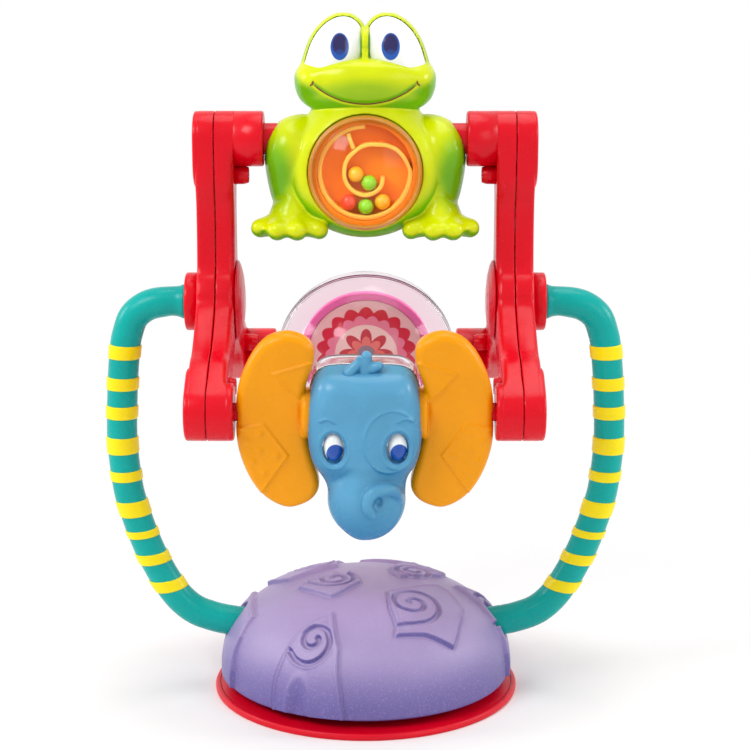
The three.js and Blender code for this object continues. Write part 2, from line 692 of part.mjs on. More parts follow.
// Elephant: a blue face, a clear back of the head, and two ears whose sleeves run on its bar
const faceShares = [[0, 1], [0.62, 1], [0.84, 0.94], [0.93, 0.8], [0.97, 0.5], [1, 0.1], [0.99, -0.1]];
const trunkShares = [[0.93, -0.24], [0.78, -0.4], [0.67, -0.54], [0.67, -0.66], [0.7, -0.78], [0.62, -0.9],
  [0.4, -0.98], [0, -1]];
const skullShares = [[0.9, -0.27], [0.7, -0.42], [0.4, -0.47], [0, -0.47]];
const snoutShares = [[0.26, -1.12, -0.72], [0.36, 0.28, 0.19]];
const elephantEyeShares = [0.57, -0.19];
const elephantEyeWidthShare = 0.18;
const elephantEyeHeightShare = 0.136;
const eyeProud = 0.4;
const eyeSunk = 0.9;
const headRoundShare = 1.5;
const sleeveEndShare = 0.62;
const earEdgeShares = [[0.39, 0.69], [0.405, 0.87], [0.5, 0.97], [0.63, 1], [0.78, 0.9], [0.9, 0.67],
  [0.98, 0.36], [1, 0], [0.985, -0.3], [0.91, -0.62], [0.79, -0.87], [0.63, -1], [0.5, -0.97],
  [0.41, -0.87], [0.38, -0.7], [0.45, -0.36], [0.472, 0], [0.462, 0.36]];

function mirrored(half) {
  return [...half, ...half.slice(1, -1).reverse().map(([x, z]) => [-x, z])];
}

function headOutline(lower, inset) {
  const half = headHalfWidth - inset;
  const crown = faceShares.map(([x, z]) => [half * x, z > 0 ? (headHeight - inset) * z : trunkDrop * z]);
  const jaw = lower.map(([x, z]) => [half * x, (trunkDrop - inset) * z]);
  return shapeFrom(mirrored([...crown, ...jaw]));
}

function headHalf(front) {
  const lower = front ? trunkShares : skullShares;
  const wall = front ? shellWall : clearWall;
  const [y0, y1] = front ? [-faceDepth, -splitGap / 2] : [splitGap / 2, skullDepth];
  const round = wall * headRoundShare;
  const grow = y1 - y0;
  const past = headHalfWidth + overrun;
  const [s0, s1] = front ? [y0, y1 + grow] : [y0 - grow, y1];
  const [c0, c1] = front ? [y0 + wall, y1 + grow] : [y0 - grow, y1 - wall];
  const [k0, k1] = front ? [y0 - overrun, y1] : [y0, y1 + overrun];
  return slabY(headOutline(lower, 0), s0, s1, round)
    .subtract(slabY(headOutline(lower, wall), c0, c1, round / 2))
    .intersect(block(-past, past, k0, k1, -2 * trunkDrop, 2 * trunkDrop))
    .subtract(rodX(earSleeveRadius + fitGap, -past, past, roundSides));
}

function eyeDisc(mirror, y0, y1, grow) {
  const disc = new THREE.CylinderGeometry(1, 1, y1 - y0, roundSides);
  const [x, z] = elephantEyeShares;
  disc.scale(headHalfWidth * elephantEyeWidthShare + grow, 1, trunkDrop * elephantEyeHeightShare + grow);
  return solidOf(disc.translate(mirror * headHalfWidth * x, (y0 + y1) / 2, trunkDrop * z));
}

function elephantFace() {
  const [place, size] = snoutShares;
  const scale = [headHalfWidth, faceDepth, trunkDrop];
  const snout = ellipsoid(place.map((s, i) => s * scale[i]), size.map((s, i) => s * scale[i]), frogSides);
  const ahead = block(
    -headHalfWidth, headHalfWidth, -2 * faceDepth, -faceDepth + shellWall, -2 * trunkDrop, 0);
  let face = headHalf(true).add(snout.intersect(ahead));
  for (const m of [-1, 1]) {
    face = face.subtract(eyeDisc(m, -faceDepth - overrun, -faceDepth + eyeSunk, fitGap));
  }
  return face;
}

function ear(side) {
  const edge = earEdgeShares.map(([x, z]) => [side * earReach * x, earHeight * z - earDrop]);
  const [sleeveStart, sleeveEnd] = [headHalfWidth - 2 * shellWall, earReach * sleeveEndShare];
  const sleeve = rodX(earSleeveRadius, side * sleeveStart, side * sleeveEnd, roundSides);
  return slabY(shapeFrom(edge), -earThickness / 2, earThickness / 2, shellWall)
    .add(sleeve)
    .subtract(rodX(elephantBarRadius + runningGap, 0, side * 2 * earReach, roundSides));
}

// Ball: two clear halves on short pins, with a picture in a pink ring between them
function ballHalf(front) {
  const far = 2 * ballHalfWidth;
  const [y0, y1] = front ? [-far, -splitGap / 2] : [splitGap / 2, far];
  const outer = ellipsoid([0, 0, 0], [ballHalfWidth, ballRadius, ballRadius], ballSides);
  const hollow = [ballHalfWidth - clearWall, ballRadius - clearWall, ballRadius - clearWall];
  let half = outer.subtract(ellipsoid([0, 0, 0], hollow, ballSides));
  if (!front) {
    const [ledge, rim] = [pictureRingRadius - ringSeatWidth, ballRadius - clearWall / 2];
    const [face, back] = [splitGap / 2, clearWall];
    const seat = latheY([[ledge, face], [rim, face], [rim, back], [ledge, back], [ledge, face]], ballSides);
    half = half.add(seat.intersect(outer));
  }
  half = half.intersect(block(-far, far, y0, y1, -far, far));
  for (const side of [-1, 1]) {
    const bore = rodX(ballPinRadius + runningGap, side * pictureRingRadius, side * far, roundSides);
    half = half.subtract(bore);
  }
  return half;
}

function pictureRing() {
  const [back, front] = [-splitGap / 2, -pictureRingDepth - splitGap / 2];
  const inner = pictureRingRadius - pictureRingWidth;
  const [lip, ledge] = [inner - pictureLipWidth, back - pictureThickness];
  return latheY([[pictureRingRadius, back], [pictureRingRadius, front], [inner, front], [inner, ledge],
    [lip, ledge], [lip, back], [pictureRingRadius, back]], bellySides);
}

function pictureDisc() {
  const back = -splitGap / 2 - pictureThickness - fitGap;
  return rodY(pictureRingRadius - pictureRingWidth - fitGap, back - pictureThickness, back, bellySides);
}

function stationGroup(turn, lean = 0) {
  const group = new THREE.Group();
  const [y, z] = alongArm(turn, wheelRadius);
  group.position.set(0, y, z);
  group.rotation.x = lean;
  wheel.add(group);
  return group;
}

// Assembly
addPiece(toy, 'suction_cup', suctionCup(), cupRed);
addPiece(toy, 'base_plate', basePlate(), lavender);
addPiece(toy, 'base_dome', baseDome(), lavender);
pillarAngles.forEach((angle, i) => addPiece(toy, `base_screw_${i + 1}`, atPillar(baseScrew, angle), steel));

for (const [label, side] of [['left', -1], ['right', 1]]) {
  addPiece(toy, `${label}_handle`, handle(side), turquoise);
  for (const [name, solid] of [['hub_washer', hubWasher(side)], ['hub_screw', hubScrew(side)]]) {
    addPiece(toy, `${label}_${name}`, solid, steel).position.z = hubHeight;
  }
  addPiece(wheel, `${label}_inner_frame`, innerFrame(side), red);
  addPiece(wheel, `${label}_outer_frame`, outerFrame(side), red);
  addPiece(wheel, `${label}_hub_cap`, hubCap(side), red);
  for (const [station, facts] of Object.entries(stations)) {
    addPiece(wheel, `${label}_${station}_arm_screw`, frameScrew(side, facts), steel);
  }
}

const frog = stationGroup(stations.frog.turn);
addPiece(frog, 'frog_crossbar', rodX(frogBarRadius, -barEnd, barEnd, roundSides), red);
const body = frogBody();
addPiece(frog, 'frog_front_shell', frogShell(body, true), lime);
addPiece(frog, 'frog_back_shell', frogShell(body, false), lime);
for (const [label, mirror] of [['left', -1], ['right', 1]]) {
  const eye = eyeInsert(mirror, 0).subtract(frogLobe(headShares, 1, fitGap));
  addPiece(frog, `frog_${label}_eye`, eye, eyeWhite);
}
addPiece(frog, 'belly_bezel', bellyBezel(), amber);
addPiece(frog, 'belly_lens', bellyLens(), clear);
addPiece(frog, 'maze_tray', mazeTray(), orange);
for (const [name, facts] of Object.entries(beads)) addPiece(frog, name, bead(facts), facts.look);

const elephant = stationGroup(stations.elephant.turn, elephantLean);
addPiece(elephant, 'elephant_crossbar', rodX(elephantBarRadius, -barEnd, barEnd, roundSides), red);
addPiece(elephant, 'elephant_face', elephantFace(), skyBlue);
addPiece(elephant, 'elephant_clear_back', headHalf(false), clear);
for (const [label, side] of [['left', -1], ['right', 1]]) {
  addPiece(elephant, `elephant_${label}_ear`, ear(side), earOrange);
  const eye = eyeDisc(side, -faceDepth - eyeProud, -faceDepth + eyeSunk - fitGap, 0);
  addPiece(elephant, `elephant_${label}_eye`, eye, eyeWhite);
}

const ball = stationGroup(stations.ball.turn, ballLean);
addPiece(ball, 'ball_front_half', ballHalf(true), clear);
addPiece(ball, 'ball_back_half', ballHalf(false), clear);
addPiece(ball, 'picture_ring', pictureRing(), pink);
addPiece(ball, 'picture_disc', pictureDisc(), cream);
for (const [label, side] of [['left', -1], ['right', 1]]) {
  const start = side * (pictureRingRadius + 2 * fitGap);
  addPiece(ball, `ball_${label}_pin`, rodX(ballPinRadius, start, side * barEnd, roundSides), red);
}

const outerBox = new THREE.Box3().setFromObject(toy, true);
toy.position.y = -(outerBox.min.y + outerBox.max.y) / 2;

export default toy;
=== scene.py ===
import json
import math

import bpy
import numpy as np
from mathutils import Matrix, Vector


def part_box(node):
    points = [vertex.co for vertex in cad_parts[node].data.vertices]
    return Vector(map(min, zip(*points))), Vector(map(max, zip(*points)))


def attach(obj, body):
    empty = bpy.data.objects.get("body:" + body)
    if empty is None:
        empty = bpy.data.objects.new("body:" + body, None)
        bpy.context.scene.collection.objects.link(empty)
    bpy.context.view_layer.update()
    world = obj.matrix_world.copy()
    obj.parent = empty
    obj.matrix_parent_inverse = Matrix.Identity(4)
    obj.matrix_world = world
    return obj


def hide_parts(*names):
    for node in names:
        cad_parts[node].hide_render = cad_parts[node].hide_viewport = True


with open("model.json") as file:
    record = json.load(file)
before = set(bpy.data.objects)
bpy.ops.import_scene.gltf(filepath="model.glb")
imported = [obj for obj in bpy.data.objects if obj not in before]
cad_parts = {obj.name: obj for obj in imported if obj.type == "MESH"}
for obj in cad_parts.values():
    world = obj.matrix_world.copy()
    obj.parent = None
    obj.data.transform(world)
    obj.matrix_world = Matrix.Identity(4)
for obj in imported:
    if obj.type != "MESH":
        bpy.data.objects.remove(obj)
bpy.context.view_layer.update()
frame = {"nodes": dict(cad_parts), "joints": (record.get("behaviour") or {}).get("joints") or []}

MM = 0.001

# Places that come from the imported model
joint_at = {j["name"]: np.array(j["pos_m"]) / MM for j in frame["joints"]}
middle = np.array([0, joint_at["wheel_spin"][1], 0])
hub_height = joint_at["wheel_spin"][2]
frog_axle, elephant_axle, ball_axle = (joint_at[f"{toy}_spin"] - middle for toy in ("frog", "elephant", "ball"))
wheel_radius = frog_axle[2] - hub_height
hub = (0, 0, hub_height)
hands = {"left": -1, "right": 1}


def node_reach(node, axis, end):
    """How far a CAD node reaches along an axis, in millimetres about the cup's middle."""
    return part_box(node)[end][axis] / MM - middle[axis]


# Driving sizes
wall = 2.0
clear_wall = 1.6
tube_radius = 5.3
band_proud = 0.4
dome_radius = 50.8
dome_height = 33.6
dome_roundness = 2.6
base_rim_height = 5.6
cup_radius = 54.0
knuckle_radius = 9.4
hub_radius = 14.6
spindle_radius = 4.5
spindle_start = 48.4
bar_radius = 5.3
thin_bar_radius = 3.0
bar_end = 55
pin_start = 25.1
inner_face = 44.4
seam = 50.7
outer_start = 51.0
outer_face = 57.3
pad_thickness = 0.9
pad_rounding = 1.5
pad_length = 16.8
hub_boss_radius = 10.0
hub_boss_face = 62.0
boss_radius = 3.15
boss_bore = 2.45
boss_bore_depth = 1.8
boss_length = 4.7
boss_back = 12.3
screw_head = 1.5
bezel_radius = 19.1
belly_drop = 10.2
belly_seat = 11.9
bead_radius = 2.65
ball_half_width = 33.0
ball_radius = 30.7
ring_radius = 24.5
elephant_lean = ball_lean = math.radians(10)

# The photograph's camera, about the cup's middle
camera_place = np.array([3.3, -643.0, 250.24])
camera_drop = math.radians(12.02)
camera_lens = 90.5


# Vectors and distance fields

def unit(v):
    return np.asarray(v, float) / np.linalg.norm(v)


def length(*parts):
    return np.sqrt(sum(p * p for p in parts))


def bell(value, width):
    return np.exp(-(value / width) ** 2)


def smooth_step(low, high, value):
    t = np.clip((value - low) / (high - low), 0, 1)
    return t * t * (3 - 2 * t)


def blend(a, b, soft):
    """Union of two fields with a soft valley between them."""
    h = np.clip(0.5 + 0.5 * (b - a) / soft, 0, 1)
    return b + (a - b) * h - soft * h * (1 - h)


def fuse(a, b, fillet):
    """Union with a round inner corner."""
    return np.maximum(fillet, np.minimum(a, b)) - length(np.maximum(fillet - a, 0), np.maximum(fillet - b, 0))


def cut(a, b, edge):
    """Overlap of two fields with a round outer edge."""
    return np.minimum(-edge, np.maximum(a, b)) + length(np.maximum(edge + a, 0), np.maximum(edge + b, 0))


def carve(a, b, edge):
    return cut(a, -b, edge)


def ellipsoid(p, centre, radii, tilt=0.0):
    q = p - np.asarray(centre, p.dtype)
    if tilt:
        c, s = math.cos(tilt), math.sin(tilt)
        q = np.stack([c * q[:, 0] - s * q[:, 2], q[:, 1], s * q[:, 0] + c * q[:, 2]], 1)
    radii = np.asarray(radii, p.dtype)
    k0 = length(*(q / radii).T)
    return k0 * (k0 - 1) / np.maximum(length(*(q / radii ** 2).T), 1e-6)


def oval_gap(x, z, centre, radii):
    """About how far a point lies outside an oval."""
    return (length((x - centre[0]) / radii[0], (z - centre[1]) / radii[1]) - 1) * min(radii)


def rod(p, start, end, r0, r1=None):
    """A round-ended rod that may taper."""
    start, end = np.asarray(start, p.dtype), np.asarray(end, p.dtype)
    along = end - start
    t = np.clip((p - start) @ along / (along @ along), 0, 1)
    radius = r0 if r1 is None else r0 + (r1 - r0) * t
    return length(*(p - start - t[:, None] * along).T) - radius


def drum(p, axis, centre, radius, low, high, edge):
    """A cylinder along an axis, with round edges. centre gives the other two coordinates in order."""
    others = [i for i in range(3) if i != axis]
    radial = length(p[:, others[0]] - centre[0], p[:, others[1]] - centre[1]) - radius
    return cut(radial, np.abs(p[:, axis] - (low + high) / 2) - (high - low) / 2, edge)


def path_gap(u, v, path):
    """Distance in a plane to a line through points."""
    best = np.full(u.shape, 1e9, u.dtype)
    for (x0, y0), (x1, y1) in zip(path, path[1:]):
        ex, ey = x1 - x0, y1 - y0
        t = np.clip(((u - x0) * ex + (v - y0) * ey) / (ex * ex + ey * ey), 0, 1)
        best = np.minimum(best, length(u - x0 - t * ex, v - y0 - t * ey))
    return best


def polygon(u, v, corners):
    """Signed distance to a closed outline, below zero inside."""
    corners = np.asarray(corners, float)
    inside = np.zeros(u.shape, bool)
    for (x0, y0), (x1, y1) in zip(corners, np.roll(corners, -1, 0)):
        if y1 != y0:
            inside ^= ((y0 > v) != (y1 > v)) & (u < (x1 - x0) * (v - y0) / (y1 - y0) + x0)
    gap = path_gap(u, v, np.vstack([corners, corners[:1]]))
    return np.where(inside, -gap, gap)


def spline(fours, steps):
    """Points of a smooth curve. Each four points give the stretch between the middle two."""
    return [0.5 * (2 * b + (c - a) * t + (2 * a - 5 * b + 4 * c - d) * t ** 2 + (3 * b - a - 3 * c + d) * t ** 3)
            for a, b, c, d in fours for t in np.linspace(0, 1, steps, endpoint=False)]


def smooth_outline(points, steps):
    """A closed curve through the points."""
    pts = np.asarray(points, float)
    return np.array(spline(zip(*(np.roll(pts, k, 0) for k in (1, 0, -1, -2))), steps))


def smooth_path(points, steps=4):
    """An open curve through the points."""
    pts = np.asarray(points, float)
    pts = np.vstack([2 * pts[0] - pts[1], pts, 2 * pts[-1] - pts[-2]])
    return np.array(spline(zip(pts, pts[1:], pts[2:], pts[3:]), steps) + [pts[-2]])


def spiral(centre, knots, step=12.0, scale=1.0):
    """Points of a spiral about a centre, from knots of degrees and reach."""
    turns = np.arange(knots[0][0], knots[-1][0] + 1, step)
    reach = scale * np.interp(turns, *zip(*knots))
    turns = np.radians(turns)
    return np.stack([centre[0] + reach * np.cos(turns), centre[1] + reach * np.sin(turns)], 1)


# Meshes: points, and faces as lists of point numbers

corners_of_cell = [(a, b, c) for a in (0, 1) for b in (0, 1) for c in (0, 1)]
one_along = np.eye(3, dtype=int)


def field_mesh(field, low, high, step):
    """The surface of a distance field: one point in each crossed cell of a grid, moved onto the surface."""
    low = np.asarray(low, float)
    counts = np.ceil((np.asarray(high) - low) / step).astype(int) + 1
    rows = [(low[i] + step * np.arange(counts[i])).astype(np.float32) for i in range(3)]
    d = field(np.stack(np.meshgrid(*rows, indexing="ij"), -1).reshape(-1, 3)).reshape(counts)
    n = counts - 1
    view = {o: d[o[0]:o[0] + n[0], o[1]:o[1] + n[1], o[2]:o[2] + n[2]] for o in corners_of_cell}
    filled = sum((v < 0).astype(np.int8) for v in view.values())
    active = (filled > 0) & (filled < 8)
    cells = np.argwhere(active)
    total, hits = np.zeros((len(cells), 3)), np.zeros(len(cells))
    for corner in corners_of_cell:
        for axis in range(3):
            if corner[axis]:
                continue
            a, b = view[corner][active], view[tuple(corner + one_along[axis])][active]
            crossed = (a < 0) != (b < 0)
            spot = np.tile(np.array(corner, float), (len(cells), 1))
            spot[:, axis] += np.where(crossed, a / np.where(crossed, a - b, 1), 0)
            total += spot * crossed[:, None]
            hits += crossed
    points = low + step * (cells + total / hits[:, None])
    index = np.full(n, -1)
    index[active] = np.arange(len(cells))
    quads = []
    for axis in range(3):
        u, v = (axis + 1) % 3, (axis + 2) % 3
        near = [slice(1, k) for k in n]
        near[axis] = slice(0, n[axis])
        far = list(near)
        far[axis] = slice(1, n[axis] + 1)
        a, b = d[tuple(near)] < 0, d[tuple(far)] < 0
        spots = np.argwhere(a != b)
        ring = np.stack([index[tuple((spots + i * one_along[u] + k * one_along[v]).T)]
                         for i, k in ((0, 0), (1, 0), (1, 1), (0, 1))], 1)
        into = ~a[a != b]
        ring[into] = ring[into][:, ::-1]
        quads.append(ring)
    probe = 0.02
    for _ in range(3):
        value = field(points)
        slope = np.stack([(field(points + probe * e) - value) / probe for e in np.eye(3)], 1)
        move = slope * (value / np.maximum((slope ** 2).sum(1), 0.2))[:, None]
        points = points - move * np.minimum(1, 0.5 * step / np.maximum(length(*move.T), 1e-9))[:, None]
    return points, np.vstack(quads).tolist()


def rounded(corners, steps=5):
    """A profile whose corners (x, y, fillet) are rounded."""
    spots = [np.array(corner[:2], float) for corner in corners]
    out = []
    for i, here in enumerate(spots):
        if len(corners[i]) < 3 or i in (0, len(spots) - 1):
            out.append(here)
            continue
        a, b = spots[i - 1] - here, spots[i + 1] - here
        la, lb = np.linalg.norm(a), np.linalg.norm(b)
        a, b = a / la, b / lb
        half = math.acos(np.clip(a @ b, -1, 1)) / 2
        back = min(corners[i][2] / math.tan(half), 0.49 * la, 0.49 * lb)
        out += [(1 - t) ** 2 * (here + a * back) + 2 * t * (1 - t) * here + t ** 2 * (here + b * back)
                for t in np.linspace(0, 1, steps)]
    return np.array(out)


def outward(mesh):
    """The same closed mesh with its faces turned to look out."""
    points, faces = mesh
    volume = 0.0
    for count in {len(f) for f in faces}:
        ring = points[np.array([f for f in faces if len(f) == count])]
        for k in range(1, count - 1):
            volume += np.einsum("ij,ij->", ring[:, 0], np.cross(ring[:, k], ring[:, k + 1]))
    return mesh if volume > 0 else (points, [f[::-1] for f in faces])


def ring_faces(rings, count, caps=True, flip=False):
    """Faces between rings of points, and at the two ends."""
    faces = [[r * count + k, r * count + (k + 1) % count, (r + 1) * count + (k + 1) % count, (r + 1) * count + k]
             for r in range(rings - 1) for k in range(count)]
    if caps:
        faces += [list(range(count))[::-1], list(range((rings - 1) * count, rings * count))]
    return [[f[0], *f[:0:-1]] for f in faces] if flip else faces


def edge_rings(low, high, low_round, high_round, steps=6):
    """Rings (x, rounding, inset) of a slab with rounded edges. Each rounding is (depth, inset)."""
    turns = np.linspace(0, math.pi / 2, steps)
    (d0, r0), (d1, r1) = low_round, high_round
    rings = [(low, r0, 0.35)] + [(low + d0 * (1 - math.sin(t)), r0 * (1 - math.cos(t)), 0) for t in turns[::-1]]
    return rings + [(high - d1 * (1 - math.sin(t)), r1 * (1 - math.cos(t)), 0) for t in turns] + [(high, r1, 0.35)]


def stack(outline, rings, fade=1.0):
    """A solid on an outline in Y and Z, with a ring for each (x, rounding, inset). fade scales the rounding."""
    outline = np.asarray(outline, float)
    along = np.roll(outline, -1, 0) - np.roll(outline, 1, 0)
    inward = np.stack([along[:, 1], -along[:, 0]], 1) / length(*along.T)[:, None]
    count = len(outline)
    points = [np.column_stack([np.full(count, x), outline + np.reshape(r * fade + inset, (-1, 1)) * inward])
              for x, r, inset in rings]
    return outward((np.vstack(points), ring_faces(len(rings), count)))


def lathe(profile, sides, axis=2, closed=False):
    """Turns a profile (radius, place) round an axis. Points on the axis become one point."""
    turns = 2 * np.pi * np.arange(sides) / sides
    points, rings, faces = [], [], []
    for radius, along in np.asarray(profile, float):
        start = len(points)
        if radius < 1e-9 and not closed:
            rings.append([start] * sides)
            points.append((0, 0, along))
        else:
            rings.append(list(range(start, start + sides)))
            points += [(radius * math.cos(t), radius * math.sin(t), along) for t in turns]
    for a, b in list(zip(rings, rings[1:])) + [(rings[-1], rings[0])] * closed:
        for i in range(sides):
            k = (i + 1) % sides
            face = [a[i], a[k], b[k], b[i]]
            face = [f for j, f in enumerate(face) if f != face[j - 1]]
            if len(face) > 2:
                faces.append(face)
    order, sign = (([2, 0, 1], 1), ([0, 2, 1], -1), ([0, 1, 2], 1))[axis]
    return outward((np.array(points, float)[:, order] * (1, 1, sign), faces))


def turned(corners, sides, axis=2, steps=5, closed=False):
    """Turns a profile with rounded corners (radius, place, fillet) round an axis."""
    profile = rounded(corners + corners[:1] * closed, steps)
    return lathe(profile[:-1] if closed else profile, sides, axis, closed)


def directions(path):
    """Unit vectors along a path."""
    along = np.gradient(path, axis=0)
    return along / np.linalg.norm(along, axis=1)[:, None]


def sweep(path, radii, sides, across=None):
    """A tube along a path, closed at both ends. across is square to a path that lies in a plane."""
    path = np.asarray(path, float)
    tangent = directions(path)
    normal = unit(np.cross(tangent[0], [0.3, 0.5, 0.81]))
    points = []
    for centre, t, radius in zip(path, tangent, radii):
        normal = unit(np.cross(across, t) if across else normal - t * (normal @ t))
        side = np.cross(t, normal)
        points += [centre + radius * (math.cos(a) * normal + math.sin(a) * side)
                   for a in 2 * np.pi * np.arange(sides) / sides]
    return np.array(points), ring_faces(len(path), sides)


def joined(*meshes):
    points, faces, start = [], [], 0
    for p, f in meshes:
        points.append(p)
        faces += [[k + start for k in face] for face in f]
        start += len(p)
    return np.vstack(points), faces


def mirrored(mesh):
    return mesh[0] * (-1, 1, 1), [f[::-1] for f in mesh[1]]


def moved(mesh, y, z):
    return mesh[0] + (0, y, z), mesh[1]


def along_arm(turn, distance):
    """Y and Z on a wheel's arm, about the wheel's axle. Turn 0 is the frog's, 1 the elephant's, 2 the ball's."""
    angle = 2 * math.pi * turn / 3
    return -distance * math.sin(angle), distance * math.cos(angle)


def on_arm(turn, points):
    """Y and Z of points that are given along and across a wheel's arm."""
    dy, dz = along_arm(turn, 1.0)
    a, c = np.asarray(points, float).T
    return np.stack([a * dy + c * dz, a * dz - c * dy], 1)


def placed(name, data):
    obj = bpy.data.objects.new(name, data)
    bpy.context.scene.collection.objects.link(obj)
    return obj


def piece(name, mesh, look, body, node=None, slot=None, at=(0, 0, 0), lean=0.0, flat_below=None):
    """A Blender object from a mesh in millimetres. It rides on a body and may stand for a CAD node.

    slot is not used."""
    x, y, z = np.asarray(mesh[0], float).T
    c, s = math.cos(lean), math.sin(lean)
    points = (np.stack([x, c * y - s * z, s * y + c * z], 1) + at + middle) * MM
    data = bpy.data.meshes.new(name)
    data.from_pydata(points.tolist(), [], mesh[1], shade_flat=False)
    data.validate()
    if flat_below:
        data.set_sharp_from_angle(angle=math.radians(flat_below))
    data.materials.append(look.owner)
    obj = placed(name, data)
    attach(obj, body)
    if node:
        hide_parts(node)


# Materials

def colour(red, green, blue):
    """A screen colour as the linear one that a shader takes."""
    return *(c / 12.92 if c <= 0.04045 else ((c + 0.055) / 1.055) ** 2.4
             for c in (red / 255, green / 255, blue / 255)), 1.0


def shade_of(c, factor):
    return tuple(min(v * factor, 1.0) for v in c[:3]) + (1.0,)


class Nodes:
    """Short calls for the nodes of a new material, or of a new world."""

    def __init__(self, name, kind="materials"):
        self.name, self.owner = name, getattr(bpy.data, kind).new(name)
        self.owner.use_nodes = True
        self.tree = self.owner.node_tree
        self.output, self.shader = (next(n for n in self.tree.nodes if n.name.endswith(end))
                                    for end in ("Output", ("BSDF", "Background")))
        if kind == "materials":
            self.place = self.tree.nodes.new("ShaderNodeTexCoord").outputs

    def socket(self, target, value):
        if isinstance(value, bpy.types.NodeSocket):
            self.tree.links.new(value, target)
        else:
            target.default_value = value

    def node(self, kind, inputs=(), **settings):
        """The outputs of a new node. inputs are values or sockets by name or number."""
        n = self.tree.nodes.new("ShaderNode" + kind)
        for key, value in settings.items():
            setattr(n, key, value)
        for key, value in dict(inputs).items():
            self.socket(n.inputs[key], value)
        return n.outputs

    def noise(self, scale, detail=2.0, rough=0.5):
        return self.node("TexNoise", {"Scale": scale, "Detail": detail, "Roughness": rough,
                                      "Vector": self.place["Object"]})["Fac"]

    def math(self, kind, *values):
        return self.node("Math", enumerate(values), operation=kind)[0]

    def add(self, a, b):
        return self.math("ADD", a, b)

    def less(self, a, b):
        return self.math("SUBTRACT", a, b)

    def times(self, a, b):
        return self.math("MULTIPLY", a, b)

    def reach(self, a, b):
        return self.math("SQRT", self.add(self.times(a, a), self.times(b, b)))

    def span(self, value, low, high, out_low=0.0, out_high=1.0, kind="SMOOTHSTEP"):
        return self.node("MapRange", {"Value": value, "From Min": low, "From Max": high, "To Min": out_low,
                                      "To Max": out_high}, interpolation_type=kind)[0]

    def mix(self, share, a, b):
        return self.node("Mix", {"Factor": share, "A": a, "B": b}, data_type="RGBA")["Result"]

    def split(self, kind):
        """X, Y and Z of a point's place or of its normal."""
        return self.node("SeparateXYZ", {0: self.place[kind]})

    def bump(self, height, distance, strength=1.0, **below):
        return self.node("Bump", {"Distance": distance, "Strength": strength, "Height": height, **below})["Normal"]

    def set(self, **values):
        for key, value in values.items():
            self.socket(self.shader.inputs[key.replace("_", " ")], value)

    def was(self, key):
        """What a socket of the shader takes so far."""
        return self.shader.inputs[key].links[0].from_socket

    def show_mix(self, share, second):
        """Shows a second shader by a share, in place of the first."""
        mixed = self.node("MixShader", {0: share, 1: self.shader.outputs[0], 2: second})
        self.tree.links.new(mixed[0], self.output.inputs[0])

    def seen_directly(self):
        """1 for camera, glossy and transmission rays."""
        path = self.node("LightPath")
        total = path["Is Camera Ray"]
        for name in ("Is Glossy Ray", "Is Transmission Ray"):
            total = self.math("MAXIMUM", total, path[name])
        return total


def inside_oval(n, centre, radii, soft):
    """1 inside an oval seen along Y, fading to 0 over soft, in millimetres about the cup's middle."""
    x, _, z = n.split("Object")
    dx, dz = n.less(x, centre[0] * MM), n.less(z, centre[1] * MM)
    edge = soft / min(radii)
    return n.span(n.reach(n.times(dx, 1 / (radii[0] * MM)), n.times(dz, 1 / (radii[1] * MM))),
                  1 - edge, 1 + edge, 1.0, 0.0)


def plastic(name, rgb, rough=0.22, grain=0.0, vary=0.07, soft=0.0, coat=0.0, ior=1.45):
    """Moulded plastic: a little uneven in colour and gloss, with a faint ripple or a matte grain."""
    n, base = Nodes(name), colour(*rgb)
    cloudy, speck = n.noise(45, 3), n.noise(900, 2, 0.6)
    tint = n.mix(n.span(cloudy, 0.3, 0.7), shade_of(base, 1 - vary), shade_of(base, 1 + vary))
    n.set(Base_Color=n.mix(n.span(speck, 0.55, 0.8, 0, 0.25), tint, shade_of(base, 1.18)),
          Roughness=n.span(n.noise(160, 3), 0.25, 0.75, rough - 0.04, rough + 0.07, "LINEAR"), IOR=ior)
    ripple = n.bump(n.noise(130, 1), 0.0004, 0.35)
    n.set(Normal=n.bump(n.noise(2600, 2, 0.7), grain, 0.9, Normal=ripple) if grain
          else n.bump(n.noise(1500, 1), 0.00002, 0.5, Normal=ripple))
    if soft:
        n.set(Subsurface_Weight=soft, Subsurface_Radius=(1.0, 0.6, 0.35), Subsurface_Scale=0.003)
    if coat:
        n.set(Coat_Weight=coat, Coat_Roughness=0.06)
    return n


def shade_painted_plastic(name, rgb, shade, low, high, rough=0.2, soft=0.12, spots=()):
    """Plastic with painted shade: a darker second colour where the surface turns down and to the sides, and on the
    spots.

    Each spot of painted shade is an oval seen along Y: centre, radii, softness, share."""
    n, shade = plastic(name, rgb, rough, soft=soft, ior=1.34), colour(*shade)
    _, y, z = n.split("Normal")
    # Painted shade: the colour goes to the shade colour as the normal turns down and to the sides
    facing = n.add(n.times(n.math("ABSOLUTE", y), 0.75), n.times(z, 0.65))
    painted_shade_mask = n.add(facing, n.times(n.less(n.noise(60, 2), 0.5), 0.25))
    look = n.mix(n.span(painted_shade_mask, low, high), shade, n.was("Base Color"))
    # Painted shade on each spot
    for centre, radii, edge, share in spots:
        look = n.mix(n.times(inside_oval(n, centre, radii, edge), share), look, shade)
    n.set(Base_Color=look)
    return n


def grainy_plastic(name, rgb, shade, rough):
    """Plastic with a fine textured skin, painted shade where the surface turns down, and a painted sparkle of
    lighter specks.
    """
    n = plastic(name, rgb, rough, grain=0.00016, vary=0.03, ior=1.58)
    _, _, z = n.split("Normal")
    # Painted shade: darker as the normal turns down
    look = n.mix(n.span(z, -0.1, 0.75), colour(*shade), n.was("Base Color"))
    # Painted sparkle: lighter specks that stand for glints on the grainy skin
    painted_sparkle = n.span(n.noise(1500, 2, 0.8), 0.52, 0.72, 0, 0.35)
    n.set(Base_Color=n.mix(painted_sparkle, look, shade_of(colour(*rgb), 1.3)))
    return n


